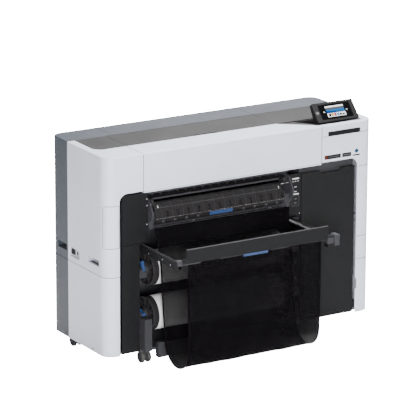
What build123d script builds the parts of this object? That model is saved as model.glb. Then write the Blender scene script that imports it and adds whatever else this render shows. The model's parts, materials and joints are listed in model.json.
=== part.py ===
from build123d import *
from math import cos, hypot, radians, sin
import os

# Large format plotter with two paper rolls, a fold-up cover, a paper basket and casters.
# Millimetres. While a piece is drawn, x runs from the casing's left side, y runs back from the
# front face and z runs up from the floor. finish() moves each piece so that the origin is the
# centre of the footprint on the floor.

# ---- Casing -----------------------------------------------------------------------------------
body_width = 1304.0
body_depth = 470.0
body_height = 913.0          # top of the casing, without the control panel
body_bottom = 63.0
skin = 3.0
seam = 1.5                   # open joint between neighbouring covers
front_radius = 50.0
rear_radius = 46.0
top_edge_radius = 4.0        # rounding of the casing's top outer edge
groove_width = 1.4
groove_depth = 1.4
rear_split = 325.0           # where the front casing meets the rear casing
side_seam = 405.0            # height of the seam across both sides
pillar_seam = 716.0          # height of the seam at the top of the right pillar
upper_groove = 866.0         # decorative groove round the upper right corner
lower_groove = 302.0         # decorative groove round the lower right corner

# ---- Front recess and bay ---------------------------------------------------------------------
recess_left = 73.0
recess_right = 1219.0
recess_top = 747.0
recess_radius = 28.0
bevel = 9.0
inner_face = 8.0             # depth of the dark covers inside the recess
bay_left = 162.0
bay_right = 947.0
bay_depth = 330.0
frame_plate = 3.0
base_thickness = 12.0
base_front = 24.0

# ---- Front cover, roof and their seams -------------------------------------------------------
cover_left = 177.0
cover_right = 1043.0
roof_left_seam = 184.0
roof_right_seam = 901.0
roof_front = 140.0
roof_inset = 34.0            # from either side of the casing to the roof
roof_radius = 40.0
roof_plate = 4.0
cover_corner_depth = 22.0    # depth of the cover's top at its right end
cover_bead = 4.0             # radius of the roof's rounded rear edge, which holds the hinge
cover_pin_radius = 2.0
cover_pin_depth = 30.0       # how far each cover pin enters the edge
slot_centre = 559.0
slot_width = 120.0
slot_depth = 12.0
slot_floor = 10.0
rear_seam_left = 216.0

# ---- Dark covers inside the recess ------------------------------------------------------------
column_left = 78.0
column_seam = 531.0
column_upper_right = 201.0
label_left = 889.0
label_bottom = 542.0
label_top = 724.0
column_return = 46.0         # how far the columns' inner walls go back

# ---- Doors -----------------------------------------------------------------------------------
door_bottom = 528.0
door_top = 709.0
door_edge_depth = 25.0       # how far round the corner the small door reaches
door_right = 62.0
door_pin_radius = 2.0
door_pin_depth = 5.5         # from the front face to the small door's hinge
door_pin_inset = 4.5         # from the small door's right edge to its hinge
swing_clearance = 0.3        # round the path of a door's hinged edge
ink_cover_bottom = 66.0
ink_cover_top = 720.0
ink_cover_thickness = 4.0
ink_grip_left = 1040.0
ink_grip_width = 104.0
ink_grip_height = 12.0
ink_hinge_height = 78.0
ink_hinge_setback = 4.5      # from the door's inner face to its hinge
ink_pin_radius = 2.5

# ---- Control panel ---------------------------------------------------------------------------
panel_left = 1050.0
panel_width = 206.0
panel_length = 92.0
panel_top_thickness = 17.0
panel_lip = 6.0              # height of the housing's front edge
panel_heel_slope = 22.0      # the housing's lowest line: up the slope,
panel_heel_drop = 33.0       # and below the face
panel_tilt = 48.5
panel_front = 37.0           # the tilted panel's lower front edge
panel_edge_height = body_height + 6
panel_pin_radius = 2.5
panel_pin_slope = 14.0       # hinge position up the panel's slope
panel_pin_drop = 14.0        # hinge position below the panel's top face
panel_ear_width = 40.0
panel_ear_radius = 4.5
glass_left = 1076.0
glass_width = 156.0
glass_start = 11.0
glass_length = 70.0
glass_thickness = 1.6
button_centre = 1062.0
button_slope = 45.0
button_radius = 7.5
button_height = 7.0
button_proud = 1.0
button_clearance = 0.2
bed_top = body_height - skin
bed_left = 903.0
bed_front = 26.0
bed_right = 1262.0
bed_depth = 30.0
bed_hollow_left = 984.0
bed_hollow_front = 62.0

# ---- Print engine ----------------------------------------------------------------------------
engine_left = 205.0
engine_right = 889.0
engine_plate = 4.0
engine_bottom = 600.0
platen_top = 712.0
platen_front = 24.0
platen_depth = 162.0
platen_thickness = 7.0
feed_radius = 12.0
feed_shaft_radius = 5.0
feed_depth = 212.0
feed_height = 699.0
rail_radius = 8.0
rail_depth = 262.0
rail_height = 800.0
carriage_width = 110.0
carriage_right = 860.0
carriage_front = 92.0
carriage_back = 280.0
carriage_bottom = 718.0
carriage_top = 850.0
run_clearance = 0.05         # radial clearance of every running fit

# ---- Paper guide -----------------------------------------------------------------------------
guide_left = 221.0
guide_right = 843.0
guide_thickness = 3.0
guide_hinge_depth = 12.0
guide_hinge_height = 689.0
guide_pin_radius = 2.5
guide_slots = 12
guide_slot_first = 278.0
guide_slot_pitch = 50.3
guide_slot_bottom = 639.0
guide_slot_width = 9.0
guide_slot_length = 22.0
guide_grip_left = 477.0
guide_grip_width = 110.0

# ---- Rolls -----------------------------------------------------------------------------------
paper_centre = 535.0
paper_width = 610.0
paper_radius = 72.0
core_bore = 25.5
flange_width = 27.0
flange_radius = 72.0
hub_radius = 14.0
hub_length = 24.0
roll_depth = 33.0
roll_heights = {"upper": 413.0, "lower": 218.0}
holder_width = 14.0
holder_gap = 3.0             # between a flange and its holder
drive_box_right = 196.0
drive_box_front = -36.0
drive_box_top = 214.0
lever_radius = 4.0
lever_width = 13.0
lever_length = 34.0
lever_leans = {"upper": 25.0, "lower": 75.0}     # degrees back from upright

# ---- Paper basket ----------------------------------------------------------------------------
basket_reach = 290.0         # the bar's inner face, in front of the casing
bar_left = 190.0
bar_right = 886.0
bar_bottom = 518.0
bar_height = 59.0
bar_thickness = 6.0
bar_notch = 17.0             # the bar's top starts this far from its left end
bar_notch_bottom = 539.0
arm_width = 16.0
arm_height = 28.0
arm_bottom = 496.0
arm_inner_end = 40.0
arm_left = 166.0
arm_right = 905.0
bracket_bottom = 482.0
guide_rail_wall = 2.0
slide_clearance = 0.4
cloth_left = 216.0
cloth_width = 640.0
cloth = 1.2
cloth_top = 598.0
cloth_back_line = [(-18.0, 598.0), (-66.0, 515.0), (-76.0, 430.0), (-90.0, 250.0), (-105.0, 139.0)]
cloth_bottom_height = 139.0
guard_left = 234.0
guard_right = 862.0
guard_front = -22.0
guard_bottom = 34.0
guard_top = 100.0

# ---- Casters ---------------------------------------------------------------------------------
wheel_radius = 25.0
wheel_width = 14.0
wheel_axle_radius = 4.0
caster_trail = 16.0
caster_neck = 14.0
caster_stem_radius = 5.0
caster_plate_radius = 19.0
caster_plate = 5.0
casters = {"front_left": (206.0, 64.0), "front_right": (903.0, 64.0),
           "rear_left": (66.0, 396.0), "rear_right": (1238.0, 396.0)}

# ---- Side fittings ---------------------------------------------------------------------------
grip_front = 60.0
grip_length = 96.0
grip_bottom = 443.0
grip_height = 27.0
grip_depth = 26.0
rear_grip_front = 335.0
rear_grip_length = 80.0
port_panel_front = 227.0
port_panel_length = 82.0
port_panel_bottom = 428.0
port_panel_height = 40.0
port_panel_depth = 8.0
inlet_centre = 288.0
inlet_width = 27.0
inlet_height = 20.0
inlet_depth = 18.0

# ---- Derived places --------------------------------------------------------------------------
paper_left = paper_centre - paper_width / 2
paper_right = paper_centre + paper_width / 2
front_limit = -(basket_reach + bar_thickness)
footprint_centre = (front_limit + body_depth) / 2
cover_axis = (rear_split - cover_bead, body_height - cover_bead)
door_axis = (door_right - door_pin_inset, door_pin_depth)
door_swing = hypot(door_pin_inset, door_pin_depth) + swing_clearance
ink_axis = (inner_face + ink_cover_thickness + ink_hinge_setback, ink_hinge_height)
ink_swing = hypot(ink_axis[0] - inner_face, ink_hinge_height - ink_cover_bottom) + swing_clearance
guide_axis = (guide_hinge_depth, guide_hinge_height)


def panel_point(slope, drop):
    """The (y, z) place of a point up the control panel's slope and below its face."""
    turn = radians(panel_tilt)
    return (panel_front + slope * cos(turn) + drop * sin(turn),
            panel_edge_height + slope * sin(turn) - drop * cos(turn))


panel_axis = panel_point(panel_pin_slope, panel_pin_drop)


# ---- Shared shapes ---------------------------------------------------------------------------
def block(x0, x1, y0, y1, z0, z1):
    """A box between two opposite corners."""
    return Pos((x0 + x1) / 2, (y0 + y1) / 2, (z0 + z1) / 2) * Box(x1 - x0, y1 - y0, z1 - z0)


def rod_x(x0, x1, y, z, radius):
    """A round bar along x."""
    return Pos((x0 + x1) / 2, y, z) * Rot(0, 90, 0) * Cylinder(radius, x1 - x0)


def rod_y(x, y0, y1, z, radius):
    """A round bar along y."""
    return Pos(x, (y0 + y1) / 2, z) * Rot(90, 0, 0) * Cylinder(radius, y1 - y0)


def rod_z(x, y, z0, z1, radius):
    """A round bar along z."""
    return Pos(x, y, (z0 + z1) / 2) * Cylinder(radius, z1 - z0)


def group(pieces):
    """Several pieces as one; pieces that touch are joined."""
    joined = pieces[0]
    for piece in pieces[1:]:
        joined += piece
    return joined


def side_profile(points, x0, x1):
    """A closed outline of (y, z) points carried from x0 to x1."""
    outline = make_face(Polyline(*points, close=True))
    return extrude(Plane(origin=(x0, 0, 0), x_dir=(0, 1, 0), z_dir=(1, 0, 0)) * outline, x1 - x0)


def plan_profile(points, z0, z1):
    """A closed outline of (x, y) points carried from z0 to z1."""
    return extrude(Pos(0, 0, z0) * make_face(Polyline(*points, close=True)), z1 - z0)


def envelope(inset):
    """The casing's plan, drawn in from its outside by inset."""
    plan = Pos(body_width / 2, body_depth / 2) * Rectangle(
        body_width - 2 * inset, body_depth - 2 * inset)
    plan = fillet(plan.vertices().group_by(Axis.Y)[0], front_radius - inset)
    return fillet(plan.vertices().group_by(Axis.Y)[-1], rear_radius - inset)


def casing_shell(z0, z1, closed_top):
    """The casing's outer wall between two heights, with its top plate where it has one."""
    wall = Pos(0, 0, z0) * (extrude(envelope(0), z1 - z0))
    if closed_top:
        wall = fillet(wall.faces().sort_by(Axis.Z)[-1].edges(), top_edge_radius)
    hollow_top = z1 - skin if closed_top else z1
    return wall - Pos(0, 0, z0) * extrude(envelope(skin), hollow_top - z0)


def groove_ring(z):
    """A shallow groove round the outside of the casing."""
    ring = extrude(envelope(-1), groove_width) - extrude(envelope(groove_depth), groove_width)
    return Pos(0, 0, z) * ring


def recess_cutter():
    """The front opening with rounded top corners, widened by a bevel at the front face."""
    height = recess_top - body_bottom + recess_radius
    outline = Rectangle(recess_right - recess_left, height)
    outline = fillet(outline.vertices().group_by(Axis.Y)[-1], recess_radius)
    centre = Pos((recess_left + recess_right) / 2, 0, recess_top - height / 2)
    straight = extrude(centre * (Plane.XZ * outline), -2 * front_radius)
    flare = extrude(centre * Pos(0, bevel, 0) * (Plane.XZ * outline), 2 * bevel, taper=-45)
    return straight + flare


def roof_plan(inset):
    """The plan of the dark roof between both sides, with rounded front corners."""
    outline = Rectangle(body_width - 2 * (roof_inset + inset), rear_split - roof_front - inset)
    outline = fillet(outline.vertices().group_by(Axis.Y)[0], roof_radius - inset)
    return Pos(body_width / 2, (rear_split + roof_front + inset) / 2) * outline


# ---- Fixed frame -----------------------------------------------------------------------------
def base_tray():
    """The chassis plate with its sill across the bay and a bore for each caster stem."""
    tray = Pos(0, 0, body_bottom) * extrude(envelope(skin), base_thickness)
    tray -= block(0, bay_left, 0, base_front, body_bottom, side_seam)
    tray -= block(bay_right, body_width, 0, ink_axis[0] + ink_swing, body_bottom, side_seam)
    for x, y in casters.values():
        tray -= rod_z(x, y, body_bottom, body_bottom + base_thickness, caster_stem_radius + run_clearance)
    return tray


def bay_frame():
    """The two steel side plates that carry the rolls and the engine, and the plate behind them."""
    top = recess_top - frame_plate - seam
    z0 = body_bottom + base_thickness
    return group([block(bay_left - frame_plate, bay_left, base_front, bay_depth, z0, top),
                  block(bay_right, bay_right + frame_plate, base_front, bay_depth, z0, top),
                  block(bay_left, bay_right, bay_depth - frame_plate, bay_depth, z0, engine_bottom)])


def engine_chassis():
    """A trough with two side plates that hold the platen, the feed roller and the rail."""
    back = bay_depth - 10
    floor = block(engine_left, engine_right, 10, back, engine_bottom, engine_bottom + engine_plate)
    rear = block(engine_left, engine_right, back - engine_plate, back, engine_bottom, rail_height + 30)
    cheek = [(-24, 640), (-24, 668), (8, 716), (40, 726), (back - 60, 726), (back - 60, rail_height + 30),
             (back, rail_height + 30), (back, engine_bottom), (10, engine_bottom), (-6, 622)]
    left = side_profile(cheek, engine_left, engine_left + engine_plate)
    right = side_profile(cheek, engine_right - engine_plate, engine_right)
    chassis = floor + rear + left + right
    chassis -= rod_x(engine_left - 1, engine_right + 1, feed_depth, feed_height,
                     feed_shaft_radius + run_clearance)
    chassis -= rod_x(engine_left - 1, engine_right + 1, rail_depth, rail_height, rail_radius)
    chassis -= rod_x(engine_left - 1, engine_right + 1, *guide_axis, guide_pin_radius)
    return chassis


def platen():
    """The flat bed under the print head, with a row of long grooves."""
    x0, x1 = engine_left + engine_plate, engine_right - engine_plate
    bed = block(x0, x1, platen_front, platen_front + platen_depth, platen_top - platen_thickness, platen_top)
    pitch = (x1 - x0) / 24
    for index in range(1, 24):
        x = x0 + index * pitch
        bed -= block(x - 3, x + 3, platen_front + 12, platen_front + platen_depth - 12,
                     platen_top - 2, platen_top)
    return bed


def carriage_rail():
    """The polished rod that the carriage runs on."""
    return rod_x(engine_left, engine_right, rail_depth, rail_height, rail_radius)


def hinge_pins():
    """The steel pins of the cover, both doors, the paper guide and the control panel."""
    cover_pins = [rod_x(roof_left_seam - 14, roof_left_seam + cover_pin_depth, *cover_axis, cover_pin_radius),
                  rod_x(roof_right_seam - cover_pin_depth, roof_right_seam + 14, *cover_axis,
                        cover_pin_radius)]
    door_pin = rod_z(*door_axis, door_bottom - 10, door_top + 10, door_pin_radius)
    ink_pins = [rod_x(bay_right + frame_plate, bay_right + 30, *ink_axis, ink_pin_radius),
                rod_x(recess_right - 30, recess_right + 6, *ink_axis, ink_pin_radius)]
    guide_pins = [rod_x(engine_left, guide_left + 12, *guide_axis, guide_pin_radius),
                  rod_x(guide_right - 12, engine_right, *guide_axis, guide_pin_radius)]
    middle = panel_left + panel_width / 2
    half = panel_ear_width / 2 + 8
    panel_pin = rod_x(middle - half, middle + half, *panel_axis, panel_pin_radius)
    return group(cover_pins + [door_pin] + ink_pins + guide_pins + [panel_pin])


# ---- Casing ----------------------------------------------------------------------------------
def grip_cut(y0, length, left):
    """The hole in a side wall for a recessed grip."""
    x = 0 if left else body_width
    return block(x - skin - 1, x + skin + 1, y0, y0 + length, grip_bottom, grip_bottom + grip_height)


def small_door_region(margin):
    """The part of the front left corner that the small door fills, grown by margin."""
    return block(-1, door_right + margin, -1, door_edge_depth + margin,
                 door_bottom + seam - margin, door_top - seam + margin)


def casing_left_lower():
    """White lower left side with the rounded front corner."""
    wall = casing_shell(body_bottom, side_seam - seam / 2, False)
    wall &= block(-1, recess_left + bevel, -1, rear_split - seam / 2, body_bottom, side_seam)
    return wall - recess_cutter()


def casing_left_upper():
    """White upper left side, front corner and top, open for the door, a grip and the ports."""
    wall = casing_shell(side_seam + seam / 2, body_height, True)
    wall &= block(-1, cover_left - seam / 2, -1, rear_split - seam / 2, side_seam, body_height)
    wall -= recess_cutter()
    wall -= extrude(Pos(0, 0, body_height - skin) * roof_plan(0), skin)
    wall -= small_door_region(seam)
    wall -= grip_cut(grip_front, grip_length, True)
    wall -= block(-1, skin + 1, port_panel_front, port_panel_front + port_panel_length,
                  port_panel_bottom, port_panel_bottom + port_panel_height)
    wall -= rod_z(*door_axis, door_bottom, door_top, door_swing)
    for z0 in (door_bottom - 14, door_top + 2):
        socket = block(door_axis[0] - 5, door_axis[0] + 5, skin, door_axis[1] + 4, z0, z0 + 12)
        wall += socket - rod_z(*door_axis, z0, z0 + 12, door_pin_radius)
    return wall


def casing_right_lower():
    """White lower right side with the rounded front corner and the foot notch."""
    wall = casing_shell(body_bottom, side_seam - seam / 2, False)
    wall &= block(recess_right - bevel, body_width + 1, -1, rear_split - seam / 2, body_bottom, side_seam)
    wall -= recess_cutter()
    wall -= groove_ring(lower_groove)
    return wall - block(recess_right - 1, recess_right + 12, -1, skin + bevel, 171, 217)


def casing_right_middle():
    """White pillar between the side seam and the top seam, open for the grip."""
    wall = casing_shell(side_seam + seam / 2, pillar_seam - seam / 2, False)
    wall &= block(recess_right - bevel, body_width + 1, -1, rear_split - seam / 2, side_seam, pillar_seam)
    wall -= recess_cutter()
    return wall - grip_cut(grip_front, grip_length, False)


def casing_right_upper():
    """White upper right corner around the control panel's bed and the roof."""
    wall = casing_shell(pillar_seam + seam / 2, body_height, True)
    wall &= block(cover_right + seam / 2, body_width + 1, -1, rear_split - seam / 2, pillar_seam, body_height)
    wall -= recess_cutter()
    wall -= extrude(Pos(0, 0, body_height - skin) * roof_plan(0), skin)
    wall -= groove_ring(upper_groove)
    return wall - block(cover_right, bed_right, bed_front, roof_front, body_height - skin, body_height)


def rear_shell():
    """The rear casing as one open-fronted shell, before it is parted."""
    wall = casing_shell(body_bottom, body_height, True)
    wall &= block(-1, body_width + 1, rear_split + seam / 2, body_depth + 1, body_bottom, body_height)
    return wall - groove_ring(side_seam - groove_width / 2)


def rear_casing_left():
    """Blue-grey rear left corner, open for the rear grip."""
    wall = rear_shell() & block(-1, rear_seam_left - seam / 2, 0, body_depth + 1, body_bottom, body_height)
    return wall - grip_cut(rear_grip_front, rear_grip_length, True)


def rear_casing_right():
    """Blue-grey rear right corner, open for the rear grip."""
    wall = rear_shell() & block(roof_right_seam + seam / 2, body_width + 1, 0, body_depth + 1,
                                body_bottom, body_height)
    return wall - grip_cut(rear_grip_front, rear_grip_length, False)


def rear_casing_centre():
    """Blue-grey rear top cover and the upper half of the back."""
    return rear_shell() & block(rear_seam_left + seam / 2, roof_right_seam - seam / 2, 0, body_depth + 1,
                                engine_bottom, body_height)


def rear_panel():
    """The vented sheet that closes the lower back."""
    x0, x1 = rear_seam_left + seam / 2, roof_right_seam - seam / 2
    panel = block(x0, x1, body_depth - skin, body_depth, body_bottom, engine_bottom - seam)
    for row in range(8):
        z = 140 + row * 14
        panel -= block(x1 - 200, x1 - 40, body_depth - skin - 1, body_depth + 1, z, z + 5)
    return panel


def roof_side(x0, x1):
    """One fixed end of the dark roof, with a bearing block for the cover's hinge pin."""
    plate = extrude(Pos(0, 0, body_height - roof_plate) * roof_plan(seam / 2), roof_plate)
    return plate & block(x0, x1, 0, rear_split - seam / 2, 0, body_height)


def roof_end(x0, x1, block_x0, block_x1):
    """A roof end joined to its bearing block."""
    bearing = block(block_x0, block_x1, rear_split - 12, rear_split - seam / 2,
                    body_height - 12, body_height - roof_plate)
    roof = roof_side(x0, x1) + bearing
    return roof - rod_x(block_x0 - 1, block_x1 + 1, *cover_axis, cover_pin_radius)


def roof_left():
    """Fixed left end of the roof."""
    edge = roof_left_seam - seam / 2
    return roof_end(0, edge, edge - 14, edge)


def roof_right():
    """Fixed right end of the roof, behind the control panel."""
    edge = roof_right_seam + seam / 2
    return roof_end(edge, body_width, edge, edge + 14)


def panel_bed():
    """The low shelf under the control panel, with a hollow behind it and the hinge ear."""
    bed = block(cover_right + seam / 2, bed_right - seam / 2, bed_front + seam / 2, roof_front - seam / 2,
                bed_top - bed_depth, bed_top)
    gap = 3.0
    slope = (roof_front - cover_corner_depth) / (cover_right - roof_right_seam)
    low_corner = roof_front - slope * (cover_right + seam / 2 - roof_right_seam) + gap
    bed += plan_profile([(bed_left + gap, roof_front - seam / 2), (cover_right + seam, roof_front - seam / 2),
                         (cover_right + seam, low_corner)], bed_top - bed_depth, bed_top)
    hollow = [(bed_hollow_left, roof_front - 4), (bed_hollow_left + 60, bed_hollow_front),
              (bed_right - 4, bed_hollow_front), (bed_right - 4, roof_front - 4)]
    bed -= plan_profile(hollow, bed_top - bed_depth + 3, bed_top + 1)
    middle = panel_left + panel_width / 2
    x0, x1 = middle - panel_ear_width / 2, middle + panel_ear_width / 2
    ear = block(x0, x1, panel_axis[0] - 3.5, panel_axis[0] + 3.5, bed_top, panel_axis[1])
    ear += rod_x(x0, x1, *panel_axis, panel_ear_radius)
    return bed + ear - rod_x(x0 - 1, x1 + 1, *panel_axis, panel_pin_radius)


def column_left_lower():
    """Dark cover over the left service space, below its seam."""
    front = block(column_left, bay_left, inner_face, inner_face + skin, body_bottom + 3, column_seam - seam / 2)
    side = block(bay_left - skin, bay_left, inner_face, base_front, body_bottom + 3, column_seam - seam / 2)
    return front + side


def column_left_upper():
    """Dark cover over the left service space, above its seam."""
    z0, z1 = column_seam + seam / 2, recess_top - seam
    front = block(column_left, column_upper_right, inner_face, inner_face + skin, z0, z1)
    side = block(column_upper_right - skin, column_upper_right, inner_face, inner_face + column_return, z0, z1)
    return front + side


def column_right():
    """Dark cover that carries the operating symbols, right of the paper path."""
    front = block(label_left, bay_right - seam / 2, inner_face, inner_face + skin, label_bottom, label_top)
    side = block(label_left, label_left + skin, inner_face, inner_face + column_return,
                 label_bottom, label_top)
    return front + side


def grip_cup(y0, length, left):
    """One recessed side grip: an open cup behind its hole."""
    x0, x1 = (skin, grip_depth) if left else (body_width - grip_depth, body_width - skin)
    rim = 2.0
    cup = block(x0, x1, y0 - rim, y0 + length + rim, grip_bottom - rim, grip_bottom + grip_height + rim)
    open_x0, open_x1 = (x0, x1 - rim) if left else (x0 + rim, x1)
    return cup - block(open_x0, open_x1, y0, y0 + length, grip_bottom, grip_bottom + grip_height)


def side_grips():
    """The four recessed grips, two on each side."""
    cups = []
    for left in (True, False):
        cups.append(grip_cup(grip_front, grip_length, left))
        cups.append(grip_cup(rear_grip_front, rear_grip_length, left))
    return group(cups)


def port_panel():
    """The recessed plate with the data ports, around the power inlet."""
    y0, y1 = port_panel_front, port_panel_front + port_panel_length
    z0, z1 = port_panel_bottom, port_panel_bottom + port_panel_height
    rim = 2.0
    tray = block(skin, port_panel_depth + rim, y0 - rim, y1 + rim, z0 - rim, z1 + rim)
    tray -= block(skin, port_panel_depth, y0, y1, z0, z1)
    z = z0 + port_panel_height / 2
    tray -= block(0, 20, inlet_centre - inlet_width / 2, inlet_centre + inlet_width / 2,
                  z - inlet_height / 2, z + inlet_height / 2)
    for y in (y0 + 14, y0 + 30):
        tray -= block(port_panel_depth - 1, port_panel_depth + rim + 1, y - 5, y + 5, z - 8, z + 8)
    return tray


def power_inlet():
    """The power socket: an open shell with three blades."""
    z = port_panel_bottom + port_panel_height / 2
    x0, x1 = port_panel_depth - 4, port_panel_depth - 4 + inlet_depth
    y0, y1 = inlet_centre - inlet_width / 2, inlet_centre + inlet_width / 2
    shell = block(x0, x1, y0, y1, z - inlet_height / 2, z + inlet_height / 2)
    shell -= block(x0, x1 - 3, y0 + 2, y1 - 2, z - inlet_height / 2 + 2, z + inlet_height / 2 - 2)
    for dy, dz in ((-7, -2), (7, -2), (0, 3)):
        shell += block(x1 - 13, x1 - 3, inlet_centre + dy - 1, inlet_centre + dy + 1, z + dz - 2, z + dz + 2)
    return shell


def ink_bay():
    """The open-fronted rack behind the ink cover, and the wall behind the cover's notch."""
    x0, x1 = bay_right + frame_plate + 10, recess_right - 4
    wall = 3.0
    rack = block(x0, x1, 34, 300, 120, 690) - block(x0 + wall, x1 - wall, 33, 297, 123, 687)
    for index in range(1, 4):
        z = 120 + index * 142
        rack += block(x0, x1, 34, 300, z, z + wall)
    backing = block(bay_right + frame_plate, recess_right, base_front, base_front + skin, 700, recess_top - seam)
    return group([rack, backing])


def ink_tanks():
    """Six ink packs in three rows."""
    x0 = bay_right + frame_plate + 18
    packs = []
    for row in range(3):
        for column in range(2):
            x = x0 + column * 122
            z = 128 + row * 142
            packs.append(block(x, x + 112, 44, 244, z, z + 60))
    return group(packs)


def bottom_guard():
    """The low crossbar under the basket cloth."""
    return block(guard_left, guard_right, guard_front, skin, guard_bottom, guard_top)


# ---- Roll holders, levers and rolls -----------------------------------------------------------
def roll_holder(left, z):
    """A bracket from the side frame with the bearing of one roll end."""
    if left:
        x1 = paper_left - flange_width - holder_gap
        x0 = x1 - holder_width
        arm = block(bay_left, x0, roll_depth - 18, roll_depth + 40, z - 34, z + 6)
    else:
        x0 = paper_right + flange_width + holder_gap
        x1 = x0 + holder_width
        arm = block(x1, bay_right, roll_depth - 18, roll_depth + 40, z - 34, z + 6)
    cheek = block(x0, x1, roll_depth - 18, roll_depth + 40, z - 34, z)
    cheek += rod_x(x0, x1, roll_depth, z, hub_radius + 8)
    bracket = arm + cheek
    return bracket - rod_x(x0 - 1, x1 + 1, roll_depth, z, hub_radius + run_clearance)


def lever_stud(z):
    """The stud on the side frame that carries a roll's lever."""
    y, pivot = lever_axis(z)
    foot = block(bay_left, bay_left + 3.5, y - 6, base_front + 6, pivot - 6, pivot + 6)
    return foot + rod_x(bay_left, bay_left + lever_width + 5, y, pivot, lever_radius)


def roll_holders():
    """The four roll-end brackets, the lever studs and the drive box, low on the left."""
    pieces = [block(bay_left, drive_box_right, drive_box_front, roll_depth + 60, body_bottom + base_thickness,
                    drive_box_top)]
    for z in roll_heights.values():
        pieces += [roll_holder(True, z), roll_holder(False, z), lever_stud(z)]
    return group(pieces) - rod_x(bay_left + skin, drive_box_right + 1, roll_depth, roll_heights["lower"],
                                 hub_radius + run_clearance)


def paper_roll(z):
    """A wound roll of paper with its core hole."""
    roll = rod_x(paper_left, paper_right, roll_depth, z, paper_radius)
    return roll - rod_x(paper_left - 1, paper_right + 1, roll_depth, z, core_bore)


def roll_adapters(z):
    """Both end flanges of a roll, each with a hub in the core and a shaft end."""
    ends = []
    for inner, outward in ((paper_left, -1), (paper_right, 1)):
        outer = inner + outward * flange_width
        shaft_end = outer + outward * (holder_gap + holder_width - 1)
        flange = rod_x(*sorted((inner, outer)), roll_depth, z, flange_radius)
        flange -= rod_x(*sorted((outer, outer - outward * (flange_width - 8))), roll_depth, z, flange_radius - 7)
        flange += rod_x(*sorted((outer, inner)), roll_depth, z, core_bore + 8)
        hub = rod_x(*sorted((inner, inner - outward * hub_length)), roll_depth, z, core_bore)
        shaft = rod_x(*sorted((outer, shaft_end)), roll_depth, z, hub_radius)
        ends.append(flange + hub + shaft)
    return group(ends)


def lever_axis(z):
    """The (y, z) place of a roll lever's pivot."""
    return (roll_depth - 36, z + 10)


def roll_lever(z, lean):
    """The blue lever that locks the left end of a roll, leaning back from upright."""
    y, pivot = lever_axis(z)
    blade = rod_x(0, lever_width, 0, 0, lever_radius + 4)
    blade += block(0, lever_width, -lever_radius - 2, lever_radius, 0, lever_length)
    blade += block(0, lever_width, -lever_radius - 5, lever_radius, lever_length - 12, lever_length)
    blade -= rod_x(-1, lever_width + 1, 0, 0, lever_radius + run_clearance)
    return Pos(bay_left + 4, y, pivot) * Rot(-lean, 0, 0) * blade


# ---- Front cover and doors --------------------------------------------------------------------
def cover_shell():
    """White front and top strip of the hinged cover, cut away beside the control panel."""
    x0, x1 = cover_left + seam / 2, cover_right - seam / 2
    front = block(x0, x1, 0, skin, recess_top, body_height - skin)
    slope = (roof_front - cover_corner_depth) / (cover_right - roof_right_seam)
    end_depth = roof_front - slope * (x1 - roof_right_seam)
    top = plan_profile([(x0, 0), (x1, 0), (x1, end_depth), (roof_right_seam, roof_front - seam / 2),
                        (x0, roof_front - seam / 2)], body_height - skin, body_height)
    lip = block(x0, x1, skin, 12, recess_top, recess_top + skin)
    shell = front + top + lip
    front_edge = shell.edges().filter_by(Axis.X).sort_by(lambda edge: edge.center().Z - edge.center().Y)[-1]
    return fillet(front_edge, top_edge_radius)


def cover_roof():
    """Dark part of the cover with its rounded hinge edge and the finger slot."""
    x0, x1 = roof_left_seam + seam / 2, roof_right_seam - seam / 2
    y, z = cover_axis
    plate = block(x0, x1, roof_front, y, body_height - roof_plate, body_height)
    bead = rod_x(x0, x1, y, z, cover_bead)
    tongue = block(x0, x1, roof_front - 16, roof_front + 6, body_height - skin - roof_plate, body_height - skin)
    tongue -= block(x0, x1, roof_front, roof_front + 6, body_height - roof_plate, body_height - skin)
    half = slot_width / 2
    cup = block(slot_centre - half - 3, slot_centre + half + 3, roof_front, roof_front + slot_depth + 3,
                body_height - slot_floor - 3, body_height - roof_plate)
    roof = plate + bead + tongue + cup
    roof -= block(slot_centre - half, slot_centre + half, roof_front, roof_front + slot_depth,
                  body_height - slot_floor, body_height)
    for start, end in ((x0 - 1, x0 + cover_pin_depth), (x1 - cover_pin_depth, x1 + 1)):
        roof -= rod_x(start, end, y, z, cover_pin_radius + run_clearance)
    return roof


def left_door():
    """Small curved door on the front left corner, with two lugs round its hinge pin."""
    door = casing_shell(door_bottom + seam, door_top - seam, False) & small_door_region(0)
    door -= block(door_right - 1, door_right + 1, -1, 1, door_bottom, door_top)
    for z0 in (door_bottom + 12, door_top - 24):
        x, y = door_axis
        lug = block(x - 4, x + 1, skin - 1, y, z0, z0 + 12) + rod_z(x, y, z0, z0 + 12, 3.2)
        door += lug - block(x - 20, x + 20, -1, 1, z0, z0 + 12)
    return door - rod_z(*door_axis, door_bottom, door_top, door_pin_radius + run_clearance)


def ink_cover():
    """Large dark door over the ink packs, with a finger notch and two hinge lugs."""
    x0, x1 = bay_right + 2, recess_right - 2
    y0, y1 = inner_face, inner_face + ink_cover_thickness
    door = block(x0, x1, y0, y1, ink_cover_bottom, ink_cover_top)
    door -= block(ink_grip_left, ink_grip_left + ink_grip_width, y0, y1,
                  ink_cover_top - ink_grip_height, ink_cover_top)
    y, z = ink_axis
    for lug_x in (x0 + 10, x1 - 22):
        lug = block(lug_x, lug_x + 12, y1, y, z - 6, z + 6) + rod_x(lug_x, lug_x + 12, y, z, 6)
        door += lug - block(lug_x, lug_x + 12, 0, y0, 0, ink_cover_top)
    return door - rod_x(x0 - 1, x1 + 1, y, z, ink_pin_radius + run_clearance)


# ---- Control panel ---------------------------------------------------------------------------
def on_slope(shape):
    """Tilts a piece drawn flat, with y up the slope and z out of the face, to its place."""
    return Pos(0, panel_front, panel_edge_height) * Rot(panel_tilt, 0, 0) * shape


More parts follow.
